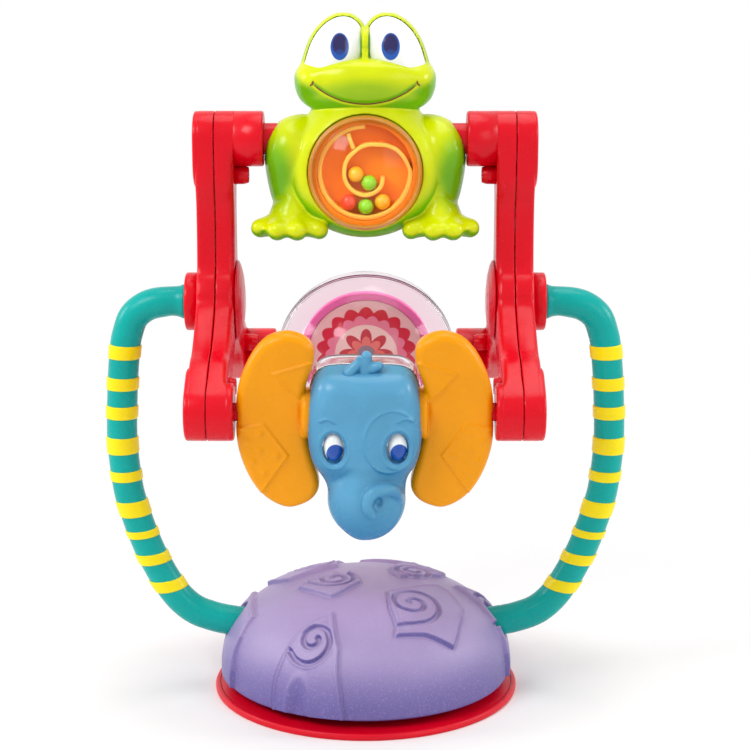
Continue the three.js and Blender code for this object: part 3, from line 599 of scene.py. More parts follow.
def clear_plastic(name, tint, rough=0.025, ior=1.36):
    """Clear plastic that lets the lamps through to what it covers."""
    n = Nodes(name)
    n.set(Base_Color=n.mix(n.noise(40, 2), tint, shade_of(tint, 1.03)),
          Roughness=n.span(n.noise(220, 3), 0.3, 0.8, rough, rough + 0.035, "LINEAR"),
          Normal=n.bump(n.noise(90, 1), 0.0003, 0.25), Transmission_Weight=1.0, IOR=ior)
    n.show_mix(n.node("LightPath")["Is Shadow Ray"], n.node("BsdfTransparent", {"Color": shade_of(tint, 0.97)})[0])
    return n


def steel(name):
    n = Nodes(name)
    n.set(Base_Color=n.mix(n.noise(300, 3), colour(176, 180, 186), colour(205, 208, 212)),
          Roughness=n.span(n.noise(900, 3), 0.3, 0.7, 0.25, 0.42, "LINEAR"),
          Normal=n.bump(n.noise(1800, 2), 0.00002, 0.6), Metallic=1.0)
    return n


def eye_white(name, spots, outer, inner):
    """White gloss with painted irises in two colours. Each spot: centre and radii."""
    n = plastic(name, (246, 248, 246), 0.16, vary=0.01, coat=0.2)
    look, outer, inner = n.was("Base Color"), colour(*outer), colour(*inner)
    for (x, z), (rx, rz) in spots:
        rim = inside_oval(n, (x, z), (rx, rz), 0.12)
        deep = inside_oval(n, (x, z + rz * 0.16), (rx * 0.8, rz * 0.76), 0.35)
        glow = inside_oval(n, (x, z - rz * 0.52), (rx * 0.55, rz * 0.3), 0.5)
        iris = n.mix(n.times(glow, 0.4), n.mix(deep, outer, inner), outer)
        look = n.mix(rim, look, iris)
    n.set(Base_Color=look)
    return n


def picture_print(name):
    """Printed card: a cream field, a scalloped red ring, pink petals and a cream flower with a grey heart."""
    n = Nodes(name)
    x, _, z = n.split("Object")
    dz = n.math("DIVIDE", n.less(z, ball_axle[2] * MM), math.cos(ball_lean))
    radius = n.reach(x, dz)
    angle = n.math("ARCTAN2", x, dz)
    look = n.mix(n.noise(700, 3), colour(250, 222, 214), colour(244, 206, 204))
    # Each ring: its edge, the count, depth and phase of its scallops, and its colour
    for edge, count, depth, phase, rgb in (
            (16.4, 9, 2.2, 0.0, (222, 40, 70)), (13.6, 9, 1.6, math.pi / 2, (244, 150, 176)),
            (11.6, 0, 0, 0.0, (252, 236, 222)), (5.4, 4, 4.6, 0.0, (206, 48, 64)),
            (4.4, 4, 2.6, 0.0, (238, 132, 118)), (3.4, 0, 0, 0.0, (150, 140, 150))):
        reach, soft = radius, 0.12
        if count:
            wave = n.math("COSINE", n.add(n.times(angle, float(count)), phase))
            reach = n.less(radius, n.times(n.math("ABSOLUTE", wave), depth * MM))
        look = n.mix(n.span(reach, (edge - soft) * MM, (edge + soft) * MM, 1.0, 0.0), look, colour(*rgb))
    n.set(Base_Color=look, Roughness=n.span(n.noise(400, 2), 0.3, 0.7, 0.38, 0.5, "LINEAR"),
          Normal=n.bump(n.noise(3000, 2), 0.00002, 0.4))
    return n


red_plastic = plastic("red_plastic", (222, 0, 28), 0.24, vary=0.04, ior=1.32)
cup_vinyl = plastic("cup_vinyl", (220, 0, 34), 0.34, vary=0.05, soft=0.04, ior=1.34)
# (98, 86, 158) is the painted shade where the dome turns down
lavender_plastic = grainy_plastic("lavender_plastic", (162, 144, 192), (98, 86, 158), 0.33)
turquoise_plastic = plastic("turquoise_plastic", (0, 168, 160), 0.26, vary=0.05, ior=1.3)
yellow_plastic = plastic("yellow_plastic", (252, 230, 0), 0.3, vary=0.04, ior=1.36)
# Painted shade on the frog: darker green where the surface turns down and to the sides, on the outer arms and under
# the lip
lime_plastic = shade_painted_plastic("lime_plastic", (216, 228, 0), (108, 182, 14), 0.12, 0.62, spots=[
    ((-30.6, frog_axle[2] - 11.0), (6.2, 11.6), 3.4, 0.95), ((30.6, frog_axle[2] - 11.0), (6.2, 11.6), 3.4, 0.95),
    ((0, frog_axle[2] + 16.4), (12.5, 3.8), 2.4, 0.62)])
orange_plastic = plastic("orange_plastic", (252, 128, 4), 0.34, vary=0.08, ior=1.3)
maze_plastic = plastic("maze_plastic", (255, 186, 76), 0.32, vary=0.05, ior=1.3)
ear_plastic = plastic("ear_plastic", (242, 156, 0), 0.26, vary=0.04, ior=1.3)
# Painted shade on the elephant: darker blue where the surface turns down and to the sides
sky_plastic = shade_painted_plastic("sky_plastic", (90, 160, 198), (58, 136, 182), 0.15, 0.8, rough=0.24, soft=0.06)
pink_plastic = plastic("pink_plastic", (255, 116, 196), 0.34, vary=0.06)
amber_plastic = plastic("amber_plastic", (205, 138, 48), 0.16, vary=0.08, soft=0.25, coat=0.4)
bead_looks = {name: plastic(f"bead_{name}", rgb, 0.14, soft=0.15, coat=0.4) for name, rgb in (
    ("red", (238, 74, 48)), ("yellow", (252, 176, 28)), ("green", (140, 208, 30)))}
brown_paint = plastic("brown_paint", (120, 66, 20), 0.35)
clear_material = clear_plastic("clear_plastic", (0.97, 0.975, 0.98, 1))
window_material = clear_plastic("window_plastic", (0.98, 0.97, 0.95, 1), ior=1.2)
pink_clear = clear_plastic("pink_clear_plastic", (0.93, 0.81, 0.85, 1), ior=1.24)
screw_steel = steel("screw_steel")


# Handles

handle_reach = 85.4
# Height over the hub's and reach over the handle's, from the hub down
handle_shares = [(1, 0.73), (1, 0.8), (0.99, 0.88), (0.963, 0.938), (0.923, 0.965), (0.88, 0.979), (0.78, 0.993),
                 (0.65, 1), (0.54, 0.985), (0.48, 0.965), (0.4, 0.924), (0.33, 0.877), (0.25, 0.803)]
approach_shares = [(0.52, 0.18), (0.37, 0.085), (0.21, 0.035), (0, 0)]
socket_height = 22.2
tube_end_inset = 14.0
band_levelling = 0.65
# Height and width along the tube of each yellow band
band_facts = [(121.9, 4.9), (110.7, 4.5), (100.5, 4.6), (88.6, 6.0), (77.6, 3.7), (65.7, 5.8), (56.5, 2.8),
              (47.4, 4.1), (37.5, 4.6)]
# Place along a band over its width, and how proud it is there over band_proud
band_half = [(-0.5, -1.25), (-0.49, 0.25), (-0.47, 0.7), (-0.43, 0.925), (-0.38, 1), (-0.2, 1), (0, 1)]


def handle_path(side):
    end_x = dome_radius - tube_end_inset
    points = [(side * handle_reach * r, 0, hub_height * h) for h, r in handle_shares]
    points += [(side * (end_x + out * (handle_reach - end_x)), 0, socket_height + up * dome_height)
               for out, up in approach_shares]
    return smooth_path(points, 10)


def path_arc(path):
    """How far along a path each of its points is."""
    return np.concatenate([[0], np.cumsum(np.linalg.norm(np.diff(path, axis=0), axis=1))])


def points_at(path, places):
    return np.stack([np.interp(places, path_arc(path), path[:, k]) for k in range(3)], 1)


def handle(side):
    path = handle_path(side)
    line = points_at(path, np.arange(0, path_arc(path)[-1], 1.0))
    start = np.array([[side * x, 0, hub_height] for x in (hub_boss_face + 0.1, hub_boss_face + 0.25)])
    line = np.vstack([start, line[(line[:, 0] * side > hub_boss_face + 0.5) | (line[:, 2] < hub_height - 5)]])
    off_hub = np.linalg.norm(line - start[0], axis=1)
    radii = tube_radius + 0.9 * bell(off_hub, 1.6) - 0.2 * bell(off_hub - 5.0, 2.6)
    radii[0] -= 0.4
    return sweep(line, radii, 40, across=(0, 1.0, 0))


def band(side, height, width):
    path = handle_path(side)
    upper = path[:, 2] > 30
    here = float(np.interp(-height, -path[upper, 2], path_arc(path)[upper]))
    ends, rise = np.array(band_half + [(-e, r) for e, r in band_half[-2::-1]]).T
    line = points_at(path, here + ends * width)
    points, faces = sweep(line, tube_radius + rise * band_proud, 40, across=(0, 1.0, 0))
    along = unit(line[-1] - line[0])
    across = np.array([-along[2], 0, along[0]])
    slide = -band_levelling * along[0] / along[2]
    return points + slide * ((points - line[6]) @ across)[:, None] * along, faces


# Base

def dome_curve(share):
    return (1 - share ** dome_roundness) ** (1 / dome_roundness)


def dome_z(radius):
    return base_rim_height + dome_height * dome_curve(np.clip(np.asarray(radius, float) / dome_radius, 0, 1))


dome_radii = dome_radius * np.sin(np.linspace(0, math.pi / 2, 4001))
dome_arc = np.concatenate([[0], np.cumsum(np.hypot(np.diff(dome_radii), np.diff(dome_z(dome_radii))))])


def dome_point(azimuth, arc):
    """A point of the dome, by degrees round from the front and millimetres down from the top."""
    radius = float(np.interp(arc, dome_arc, dome_radii))
    a = math.radians(azimuth)
    return np.array([radius * math.sin(a), -radius * math.cos(a), float(dome_z(radius))])


patch_height = 1.0
patch_bead = 0.44
patch_edge = 0.3
groove_depth = 1.25
groove_half_width = 0.76
# Outlines are across and up the dome. A spiral's groove is a centre and, from its outer end inwards,
# degrees and reach from the centre. An arch is a centre, half its width and its height.
patch_shapes = {
    "kite": {
        "outline": [(-1.8, -11.6), (-5.7, -6.3), (-5.6, -3.6), (-8.0, 0.8), (-5.5, 10.7), (4.6, 9.2), (11.9, -1.7),
                    (12.6, -4.3)],
        "spiral": ((-1.6, 2.2), [(255, 10.5), (280, 8.0), (340, 7.0), (414, 6.6), (517, 6.2), (600, 4.9),
                                 (690, 4.2), (774, 3.5), (877, 2.4), (950, 1.3)]),
    },
    "shard": {
        "outline": [(-4.6, 17.0), (10.2, 14.1), (15.6, 12.3), (16.0, 6.4), (13.0, -2.8), (8.8, -6.4), (-3.3, -15.4),
                    (-10.4, -7.9), (-19.6, -3.0), (-16.4, 0.4), (-11.7, 8.7)],
        "spiral": ((-3.7, 6.0), [(203, 16.0), (212, 12.6), (236, 10.8), (275, 9.8), (323, 8.8), (404, 8.0),
                                 (490, 6.7), (560, 5.3), (640, 4.2), (720, 3.2), (800, 2.2), (860, 1.2)]),
    },
    "spike": {
        "outline": [(1.0, 18.3), (9.2, 4.6), (13.9, -16.7), (14.2, -26.0), (-12.4, -26.0), (-12.1, -17.2),
                    (-11.6, -8.4), (-8.8, 3.0), (-7.4, 7.1)],
        "spiral": ((-0.3, 6.5), [(205, 10.6), (216, 8.8), (240, 8.9), (270, 8.8), (320, 7.0), (382, 5.1),
                                 (455, 4.8), (520, 3.9), (600, 3.2), (680, 2.3), (760, 1.3)]),
        "arch": (-2.0, -20.0, 4.2, 11.8),
    },
    "strip": {
        "outline": [(-19.0, 12.0), (-2.0, 15.0), (13.2, 13.7), (17.3, 6.8), (19.8, -4.9), (19.7, -24.0),
                    (-19.0, -24.0)],
    },
}
# Shape, degrees round from the front, and millimetres down from the top
patches = [("kite", -70, 13), ("shard", 45, 33), ("spike", -24, 50), ("strip", -88, 57), ("shard", -134, 36),
           ("kite", 122, 22), ("spike", 92, 52), ("shard", 158, 46), ("spike", -164, 53)]


def dome_relief(points, normals):
    """How far each point of the dome stands out, from its raised patches and the two tube holes."""
    height = np.zeros(len(points))
    for shape, azimuth, arc in patches:
        origin = dome_point(azimuth, arc)
        around = unit(dome_point(azimuth + 0.5, arc) - dome_point(azimuth - 0.5, arc))
        up = unit(dome_point(azimuth, arc - 0.3) - dome_point(azimuth, arc + 0.3))
        near = (normals @ np.cross(around, up) > 0.12) & (np.linalg.norm(points - origin, axis=1) < 34)
        u, v = (points[near] - origin) @ around, (points[near] - origin) @ up
        facts = patch_shapes[shape]
        edge = polygon(u, v, facts["outline"])
        rise = patch_height * smooth_step(patch_edge, -patch_edge, edge)
        rise = rise + patch_bead * bell(edge + 0.7, 0.45) - 0.3 * bell(edge - 0.55, 0.4)
        if "spiral" in facts:
            gap = path_gap(u, v, spiral(*facts["spiral"]))
            inside = smooth_step(0.6, -0.3, edge)
            off = gap - groove_half_width
            rise = rise - groove_depth * inside * smooth_step(0.35, -0.3, off)
            rise = rise + 0.2 * inside * bell(off - 0.55, 0.35)
        if "arch" in facts:
            cx, cy, half, tall = facts["arch"]
            bow = length((u - cx) / half, np.maximum(v - cy, 0) / tall)
            rise = rise - 1.2 * smooth_step(1.05, 0.3, bow) + 0.25 * bell(bow - 1.15, 0.14)
        height[near] = np.where(np.abs(rise) > np.abs(height[near]), rise, height[near])
    for side in hands.values():
        toward = handle_path(side)[-14:]
        for a, b in zip(toward, toward[1:]):
            gap = rod(points, a, b, 0)
            hole = -smooth_step(tube_radius + 0.75, tube_radius + 0.35, gap) * 1.2
            height = np.minimum(height, np.where(gap < tube_radius + 1.1, hole, height))
    return height


def base_dome():
    """The dome's outer skin with its relief, turned in at the rim to a plain inner skin."""
    columns, rows, rim_round = 880, 200, 0.7
    arcs = np.linspace(0.35, dome_arc[-1] - rim_round, rows)
    radii = np.interp(arcs, dome_arc, dome_radii)
    heights = dome_z(radii)
    turns = 2 * np.pi * np.arange(columns) / columns

    def rings(wide, high):
        wide, high = (np.repeat(np.asarray(k, float)[:, None], columns, 1) for k in (wide, high))
        return np.stack([wide * np.sin(turns), -wide * np.cos(turns), high], -1).reshape(-1, 3)

    points, normals = rings(radii, heights), rings(-np.gradient(heights, arcs), np.gradient(radii, arcs))
    points = points + normals * dome_relief(points, normals)[:, None]
    inner_radius, inner_height = dome_radius - wall, dome_height - wall
    rest = [(dome_radius - 0.1, base_rim_height + 0.25), (dome_radius - rim_round, base_rim_height),
            (inner_radius + 0.3, base_rim_height), (inner_radius, base_rim_height + 0.4)]
    rest += [(inner_radius * s, base_rim_height + inner_height * dome_curve(s))
             for s in (0.995, 0.97, 0.9, 0.78, 0.6, 0.4, 0.2)]
    tops = [(0, 0, base_rim_height + k) for k in (dome_height, inner_height)]
    skin = np.vstack([points, rings(*zip(*rest)), tops])
    total = rows + len(rest)
    top, last = total * columns, (total - 1) * columns
    pairs = [(i, (i + 1) % columns) for i in range(columns)]
    caps = [[top, a, b] for a, b in pairs] + [[top + 1, last + b, last + a] for a, b in pairs]
    return skin, ring_faces(total, columns, caps=False, flip=True) + caps


def suction_cup():
    hollow = 5.4
    return turned([
        (0, hollow), (22, hollow, 8), (34, 4.2, 8), (45.2, 1.9, 8), (51.4, 0, 1.5), (cup_radius - 0.2, 0, 0.5),
        (cup_radius, 1.1, 0.9), (cup_radius - 0.5, 2.2, 0.6), (cup_radius - 1.6, 2.3, 0.4),
        (cup_radius - 2.0, 2.05, 0.3), (cup_radius - 5.4, 2.8, 2), (38.9, 4.1, 6), (27, 5.6, 6), (19.4, 6.7, 4),
        (14, 7.4, 2), (6.2, 7.4, 0.6), (6, 10.4, 0.3), (9.3, 10.5, 0.6), (7.6, 13.3, 1.2), (3.8, 14.5, 1.5),
        (0, 14.5)], 160, steps=6)


# Wheel frames

knuckle_ends = {0: 34.4, 1: 42.3, 2: 33.6}


def arm_outline():
    """Outline of a wheel side in Y and Z about its axle, and how far each point lies along its arm."""
    around_hub = [(hub_radius * math.cos(t), hub_radius * math.sin(t)) for t in np.radians([60, 56, 52, 48])]
    neck = [(11.2, 9.5), (13.2, 8.55), (16, 7.95), (19.5, 7.55), (23, 7.25), (27, 7.02), (31, 7.02), (34.5, 7.3),
            (37, 7.95), (39.4, 8.75), (42, 9.2), (46, 9.38), (51, knuckle_radius), (wheel_radius, knuckle_radius)]
    flank = smooth_path(around_hub + neck)
    tip = [(wheel_radius + knuckle_radius * math.sin(t), -knuckle_radius * math.cos(t))
           for t in np.linspace(0, math.pi, 33)[1:-1]]
    arm = np.vstack([flank * (1, -1), tip, flank[::-1]])[:-1]
    return np.vstack([on_arm(turn, arm) for turn in (0, 2, 1)]), np.tile(arm[:, 0], 3)


def inner_side():
    """A wheel side's inner shell: rounded arms, three knuckles round their bars and three screw bosses."""
    outline, along = arm_outline()
    fade = 1 - smooth_step(wheel_radius - 9, wheel_radius - 1, along)
    parts = [stack(outline, edge_rings(inner_face, seam, (2.4, 2.4), (0.45, 0.45), 7), fade)]
    far = inner_face + 2
    for turn, end in knuckle_ends.items():
        bore, outer = (thin_bar_radius if turn else bar_radius) + 0.35, knuckle_radius - 0.02
        knuckle = turned([(bore, far), (outer, far), (outer, end, 1.0), (bore, end, 0.3)], 72, 0, 6, closed=True)
        start = max(inner_face - boss_length, end)
        boss = turned([(0, far), (boss_radius, far), (boss_radius, start + 1.7, 1.2), (boss_bore + 0.2, start, 0.1),
                       (boss_bore, start, 0.1), (boss_bore, start + boss_bore_depth, 0.15),
                       (0, start + boss_bore_depth)], 48, 0)
        parts += [moved(knuckle, *along_arm(turn, wheel_radius)),
                  moved(boss, *along_arm(turn, wheel_radius - boss_back))]
    return joined(*parts)


def outer_side():
    """A wheel side's outer shell: rounded arms, a raised pad on each knuckle and a round hub boss."""
    parts = [stack(arm_outline()[0], edge_rings(outer_start, outer_face, (0.45, 0.45), (1.3, 1.3)))]
    radius, back = knuckle_radius - 0.05, pad_length - knuckle_radius
    pad = [(wheel_radius - off + radius * math.sin(t), -radius * math.cos(t))
           for off, start in ((0, 0), (back, math.pi)) for t in np.linspace(start, start + math.pi, 25)]
    for turn in range(3):
        parts.append(stack(on_arm(turn, pad), edge_rings(outer_face - 1.2, outer_face + pad_thickness, (0.2, 0.1),
                                                         (pad_thickness, pad_rounding))))
    bore, back = 4.8, outer_face - 2
    boss = turned([(bore, back), (hub_boss_radius, back), (hub_boss_radius, hub_boss_face, 1.0),
                   (bore, hub_boss_face, 0.3)], 80, 0, 6, closed=True)
    return joined(*parts, boss)


def hub_cap():
    back, deep, radius = inner_face - 0.25, 2.6, hub_radius - 0.3
    return turned([
        (0, back - deep), (radius * 0.35, back - deep * 0.95, 6), (radius * 0.66, back - deep * 0.76, 6),
        (radius * 0.88, back - deep * 0.46, 4), (radius - 0.2, back - deep * 0.18, 1.2), (radius, back, 0.3),
        (8.1, back, 0.1), (8.1, back + 1.4, 0.1), (0, back + 1.4)], 96, 0, 7)


def plain_bar(radius, low, high, sides=48):
    return turned([(0, low), (radius, low, 0.5), (radius, high, 0.5), (0, high)], sides, 0)


def screw_mesh(head_radius, shank_radius, shank_length):
    """A screw that points down, with a round head, a cross recess and a plain shank."""
    def field(p):
        x, y, z = p.T
        crown = 1.6 * head_radius
        head = cut(length(x, y) - head_radius, length(x, y, z - screw_head + crown) - crown, 0.25)
        head = cut(head, -z, 0.1)
        slot = np.maximum(np.minimum(np.maximum(np.abs(x) - 0.3, np.abs(y) - 1.25),
                                     np.maximum(np.abs(y) - 0.3, np.abs(x) - 1.25)), screw_head * 0.35 - z)
        shank = np.maximum(length(x, y) - shank_radius, np.maximum(z - 0.2, -z - shank_length))
        return np.minimum(carve(head, slot, 0.05), shank)

    reach = head_radius + 0.5
    return field_mesh(field, (-reach, -reach, -shank_length - 0.5), (reach, reach, screw_head + 0.5), 0.2)


# Frog, about its axle

eye_centre, eye_radii, eye_tilt = (9.9, 0.6, 27.6), (10.6, 11.4, 15.1), math.radians(-21)
eye_rim = 1.15
torso_front, torso_back, torso_rounding = -14.0, 13.0, 8.5
frog_low, frog_top = (node_reach("frog_front_shell", 2, end) - frog_axle[2] for end in (0, 1))
smile_path = smooth_path([(-17.2, 18.9), (-14.6, 16.9), (-11.2, 15.0), (-6.5, 13.3), (0, 12.5), (6.5, 13.3),
                          (11.2, 15.0), (14.6, 16.9), (17.2, 18.9)])
smile_tick = [(18.3, 18.3), (17.5, 19.1), (17.2, 20.1)]


def eye_form(q):
    lower = ellipsoid(q, (12.2, 0.6, 20.5), (9.8, 10.5, 9.5))
    return blend(ellipsoid(q, eye_centre, eye_radii, eye_tilt), lower, 3.0)


def eye_lobe(q):
    return np.maximum(cut(eye_form(q), 0.05 - q[:, 0], 0.7), q[:, 2] - frog_top + 0.05)


def eye_window(q):
    """The region of the eye's front that the white insert fills."""
    x, y, z = q.T
    side = np.maximum(eye_form(np.stack([x, np.full_like(x, 0.6), z], 1)), 0.1 - x)
    return np.maximum(np.maximum(side + eye_rim, y + 2.2), lip_top(x) - 2.0 - z)


def lip_top(x):
    """Height of the upper lip's top edge across the face."""
    return 27.0 - 0.004 * x ** 2 - 0.000019 * x ** 4


def frog_head(q):
    """The wide mouth: an upper lip over a chin."""
    x, _, z = q.T
    lip = cut(ellipsoid(q, (0, -0.4, 20.3), (23.5, 14.3, 10.8)), z - lip_top(x), 2.6)
    chin = ellipsoid(q, (0, 0.2, 16.0), (22.8, 13.0, 9.2))
    cheek = ellipsoid(q, (16.2, 0.0, 20.2), (7.5, 11.0, 6.6))
    return blend(blend(lip, chin, 2.0), cheek, 1.6)


def frog_torso(q):
    """A pillow with a flat front for the belly window, under a broad neck."""
    x, y, z = q.T
    side = oval_gap(x, z, (0, -10.6), (25.7, 22.3))
    chest = cut(cut(side, torso_front - y, torso_rounding), y - torso_back, torso_rounding)
    return blend(chest, ellipsoid(q, (0, 0.8, 5.5), (19.5, 12.0, 12.5)), 4.5)


def frog_limb(q):
    """An arm over a thigh, and a foot with four toes."""
    shoulder = blend(ellipsoid(q, (21.4, 1.2, -5.6), (12.5, 10.6, 13.8)),
                     cut(ellipsoid(q, (25.2, -1.3, -4.4), (9.2, 10.2, 11.0)), q[:, 0] - 34.15, 1.5), 2.0)
    thigh = ellipsoid(q, (23.6, 2.2, -14.5), (9.4, 10.0, 13.2))
    shin = rod(q, (24.4, -6.6, -17.5), (25.4, -7.6, -25.6), 2.0, 3.0)
    ankle = ellipsoid(q, (24.8, -2.6, -24.6), (7.4, 8.6, 6.2))
    foot = ellipsoid(q, (25.6, -4.4, -28.6), (10.2, 9.6, 3.7))
    web = ellipsoid(q, (25.6, -7.6, -29.2), (10.8, 7.8, 2.9))
    limb = blend(blend(shoulder, thigh, 4.0), blend(shin, ankle, 2.4), 1.8)
    limb = blend(limb, blend(foot, web, 1.5), 3.0)
    for root, tip, end_radius in (((29.0, -6.0, -28.2), (35.6, -7.4, -29.6), 3.1),
                                  ((27.4, -8.0, -28.2), (29.6, -13.2, -29.9), 3.05),
                                  ((24.4, -8.0, -28.2), (22.8, -13.8, -29.9), 3.05),
                                  ((22.0, -7.0, -28.0), (15.5, -11.8, -29.7), 3.05)):
        limb = blend(limb, rod(q, root, tip, 3.0, end_radius), 2.2)
    return np.maximum(limb, frog_low + 0.05 - q[:, 2])


def frog_body(p, side=-1):
    """The frog's front half, or with side 1 its back half."""
    q = np.stack([np.abs(p[:, 0]), p[:, 1], p[:, 2]], 1)
    window, head = eye_window(q), frog_head(q)
    eyes = carve(eye_lobe(q), window, 0.35)
    ridge = ellipsoid(q, (0, 0.6, 32.2), (4.4, 8.8, 5.6))
    skull = blend(ellipsoid(q, (0, 1.4, 24), (19.0, 11.0, 10.0)), ridge, 1.0)
    skull = carve(skull, np.maximum(window - 0.2, -20 - q[:, 1]), 0.2)
    body = blend(frog_torso(q), frog_limb(q), 1.0)
    body = np.minimum(body, blend(blend(eyes, skull, 0.9), head, 0.7))
    body = np.where(head < 6, blend(body, head, 0.9), body)
    body = body + 0.34 * bell(smile_gap(p), 0.6)
    body = carve(body, drum(q, 1, (0, -belly_drop), bezel_radius + 0.25, -40, -belly_seat + 0.3, 0.1), 0.35)
    body = carve(body, drum(q, 1, (0, -belly_drop), 17.6, -40, -4, 0.1), 0.3)
    body = carve(body, length(p[:, 1], p[:, 2]) - bar_radius - 0.4, 0.3)
    return cut(body, 0.12 - side * p[:, 1], 0.35)


def smile_gap(p):
    """Distance to the smile line, seen from the front, on the face's front half only."""
    x, y, z = p.T
    best = np.full(x.shape, 1e3, x.dtype)
    near = (np.abs(z - 15) < 7) & (y < -2) & (np.abs(x) < 22)
    best[near] = path_gap(x[near], z[near], smile_path)
    return best


def frog_smile():
    lines = []
    ticks = [smooth_path([(side * x, z) for x, z in smile_tick]) for side in hands.values()]
    depths = np.linspace(-20, 0, 401)
    for path, thick, field, proud in (
            (smile_path, 0.34, frog_head, 0.22), *((tick, 0.32, frog_body, 0.02) for tick in ticks)):
        line = []
        for x, z in path:
            column = np.stack([np.full_like(depths, abs(x)), depths, np.full_like(depths, z)], 1)
            line.append((x, depths[np.argmax(field(column) < -proud)], z))
        ends = np.minimum(np.arange(len(line)), np.arange(len(line))[::-1])
        lines.append(sweep(line, thick * np.clip(0.45 + ends * 0.3, 0, 1), 10))
    return joined(*lines)


def frog_eye(p, side):
    q = p * np.array([side, 1, 1], p.dtype)
    shell = cut(eye_lobe(q) + 0.12, eye_window(q) + 0.12, 0.3)
    return carve(carve(shell, eye_lobe(q) + 3.2, 0.2), frog_head(q) + 0.6, 0.1)


# The belly: bezel, bulged lens, tray and maze about the belly's middle, and beads

maze_turns = [(90, 1), (360, 1), (395, 0.86), (427, 0.66), (480, 0.5), (536, 0.46), (590, 0.485), (634, 0.51),
              (675, 0.475), (708, 0.395)]
maze_radius = 15.05
maze_wall = 1.35
maze_front = -12.6
tray_floor = -7.6
tray_front = -13.3


def belly_bezel():
    back, front = -belly_seat, -15.9
    return turned([
        (18.3, back), (bezel_radius, back, 0.2), (bezel_radius, front + 1.2, 0.6),
        (bezel_radius - 0.8, front - 0.1, 0.5), (17.8, front + 0.1, 0.4), (17.5, front + 0.8, 0.3),
        (17.5, front + 1.15, 0.1), (18.2, front + 1.2, 0.1)], 120, 1, 6, closed=True)


def belly_lens():
    """A bulged window: two spheres about one centre, with a flat rim behind the bezel."""
    rim, base_y, bulge, thick = 16.6, -14.9, 6.0, 1.2
    sphere = (rim ** 2 + bulge ** 2) / (2 * bulge)
    centre = base_y - bulge + sphere
    inner, outer = ([(radius * math.sin(t), centre - radius * math.cos(t))
                     for t in np.linspace(0, math.asin(reach / radius), 22)]
                    for radius, reach in ((sphere - thick, rim - 1.5), (sphere, rim)))
    edge = [(rim - 1.0, base_y + thick), (17.8, base_y + thick), (17.8, base_y + 0.15)]
    return lathe(inner + edge + outer[::-1], 120, 1)


def ribbon(path, edge=0.3):
    """A wall of the maze, with a rounded top and round ends."""
    half, back, front = maze_wall / 2, tray_floor + 0.3, maze_front
    section = [(-half, back), (-half, front + edge), (-half + edge * 0.3, front + edge * 0.3),
               (-half + edge, front)]
    section += [(-s, y) for s, y in section[::-1]]
    points = [(x - t[1] * s, y, z + t[0] * s) for (x, z), t in zip(path, directions(path)) for s, y in section]
    return np.array(points), ring_faces(len(path), len(section), flip=True)


def maze_walls():
    return joined(ribbon(spiral((0, 0), maze_turns, 4.0, maze_radius)),
                  ribbon([(-5.6, 12.9), (-5.1, 11.3), (-4.5, 9.6), (-3.8, 7.9)]))


def maze_tray():
    return turned([
        (0, tray_floor + 1.2), (17, tray_floor + 1.2, 0.3), (17, -11.9, 0.1), (17.9, -11.9, 0.1),
        (17.9, tray_front, 0.2), (15.8, tray_front, 0.4), (15.7, tray_floor, 0.5), (0, tray_floor)], 120, 1, 4)


def bead_mesh(node):
    low, high = (np.array(c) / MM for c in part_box(node))
    points, faces = lathe([(bead_radius * math.sin(a), -bead_radius * math.cos(a))
                           for a in np.linspace(0, math.pi, 25)], 40)
    return points + (low + high) / 2 - middle, faces


# Elephant, about its axle, before it leans

face_front = -13.0
skull_back = 12.0
axle_bore = 8.5
face_points = [(0, 16.8), (8.6, 16.7), (13.0, 15.9), (15.9, 13.6), (17.5, 9.8), (18.3, 5.4), (18.6, 0.8),
               (18.5, -4.5), (17.9, -10.5), (16.5, -15.6), (14.3, -19.8), (12.7, -23.0), (12.0, -26.5),
               (12.1, -30.5), (11.0, -34.6), (8.3, -38.3), (4.6, -40.6), (0, -41.3)]
skull_points = face_points[:7] + [(18.2, -5.0), (16.7, -11.0), (13.0, -17.2), (7.4, -19.3), (0, -19.5)]
head_outline, skull_outline = (smooth_outline(half + [(-x, z) for x, z in half[-2:0:-1]], 3)
                               for half in (face_points, skull_points))
elephant_eyes = {"left": ((-10.0, -7.7), (3.35, 5.3)), "right": ((10.5, -7.6), (3.35, 5.3))}
patch_ring = ((8.6, -4.9), (8.9, 10.9))
brows = ((-11.9, 2.2), (12.9, 2.4))
curl_path = smooth_path([(10.6, -9.0, -26.4), (9.9, -12.2, -22.8), (7.9, -14.4, -21.0), (5.2, -15.5, -20.7),
                         (2.4, -16.2, -21.7), (1.0, -16.7, -24.3), (1.2, -16.9, -26.9), (2.4, -16.8, -29.0)])
curl_radii = np.interp(np.linspace(0, 1, len(curl_path)), [0, 0.3, 0.6, 0.85, 1], [2.0, 2.1, 2.3, 2.1, 1.6])


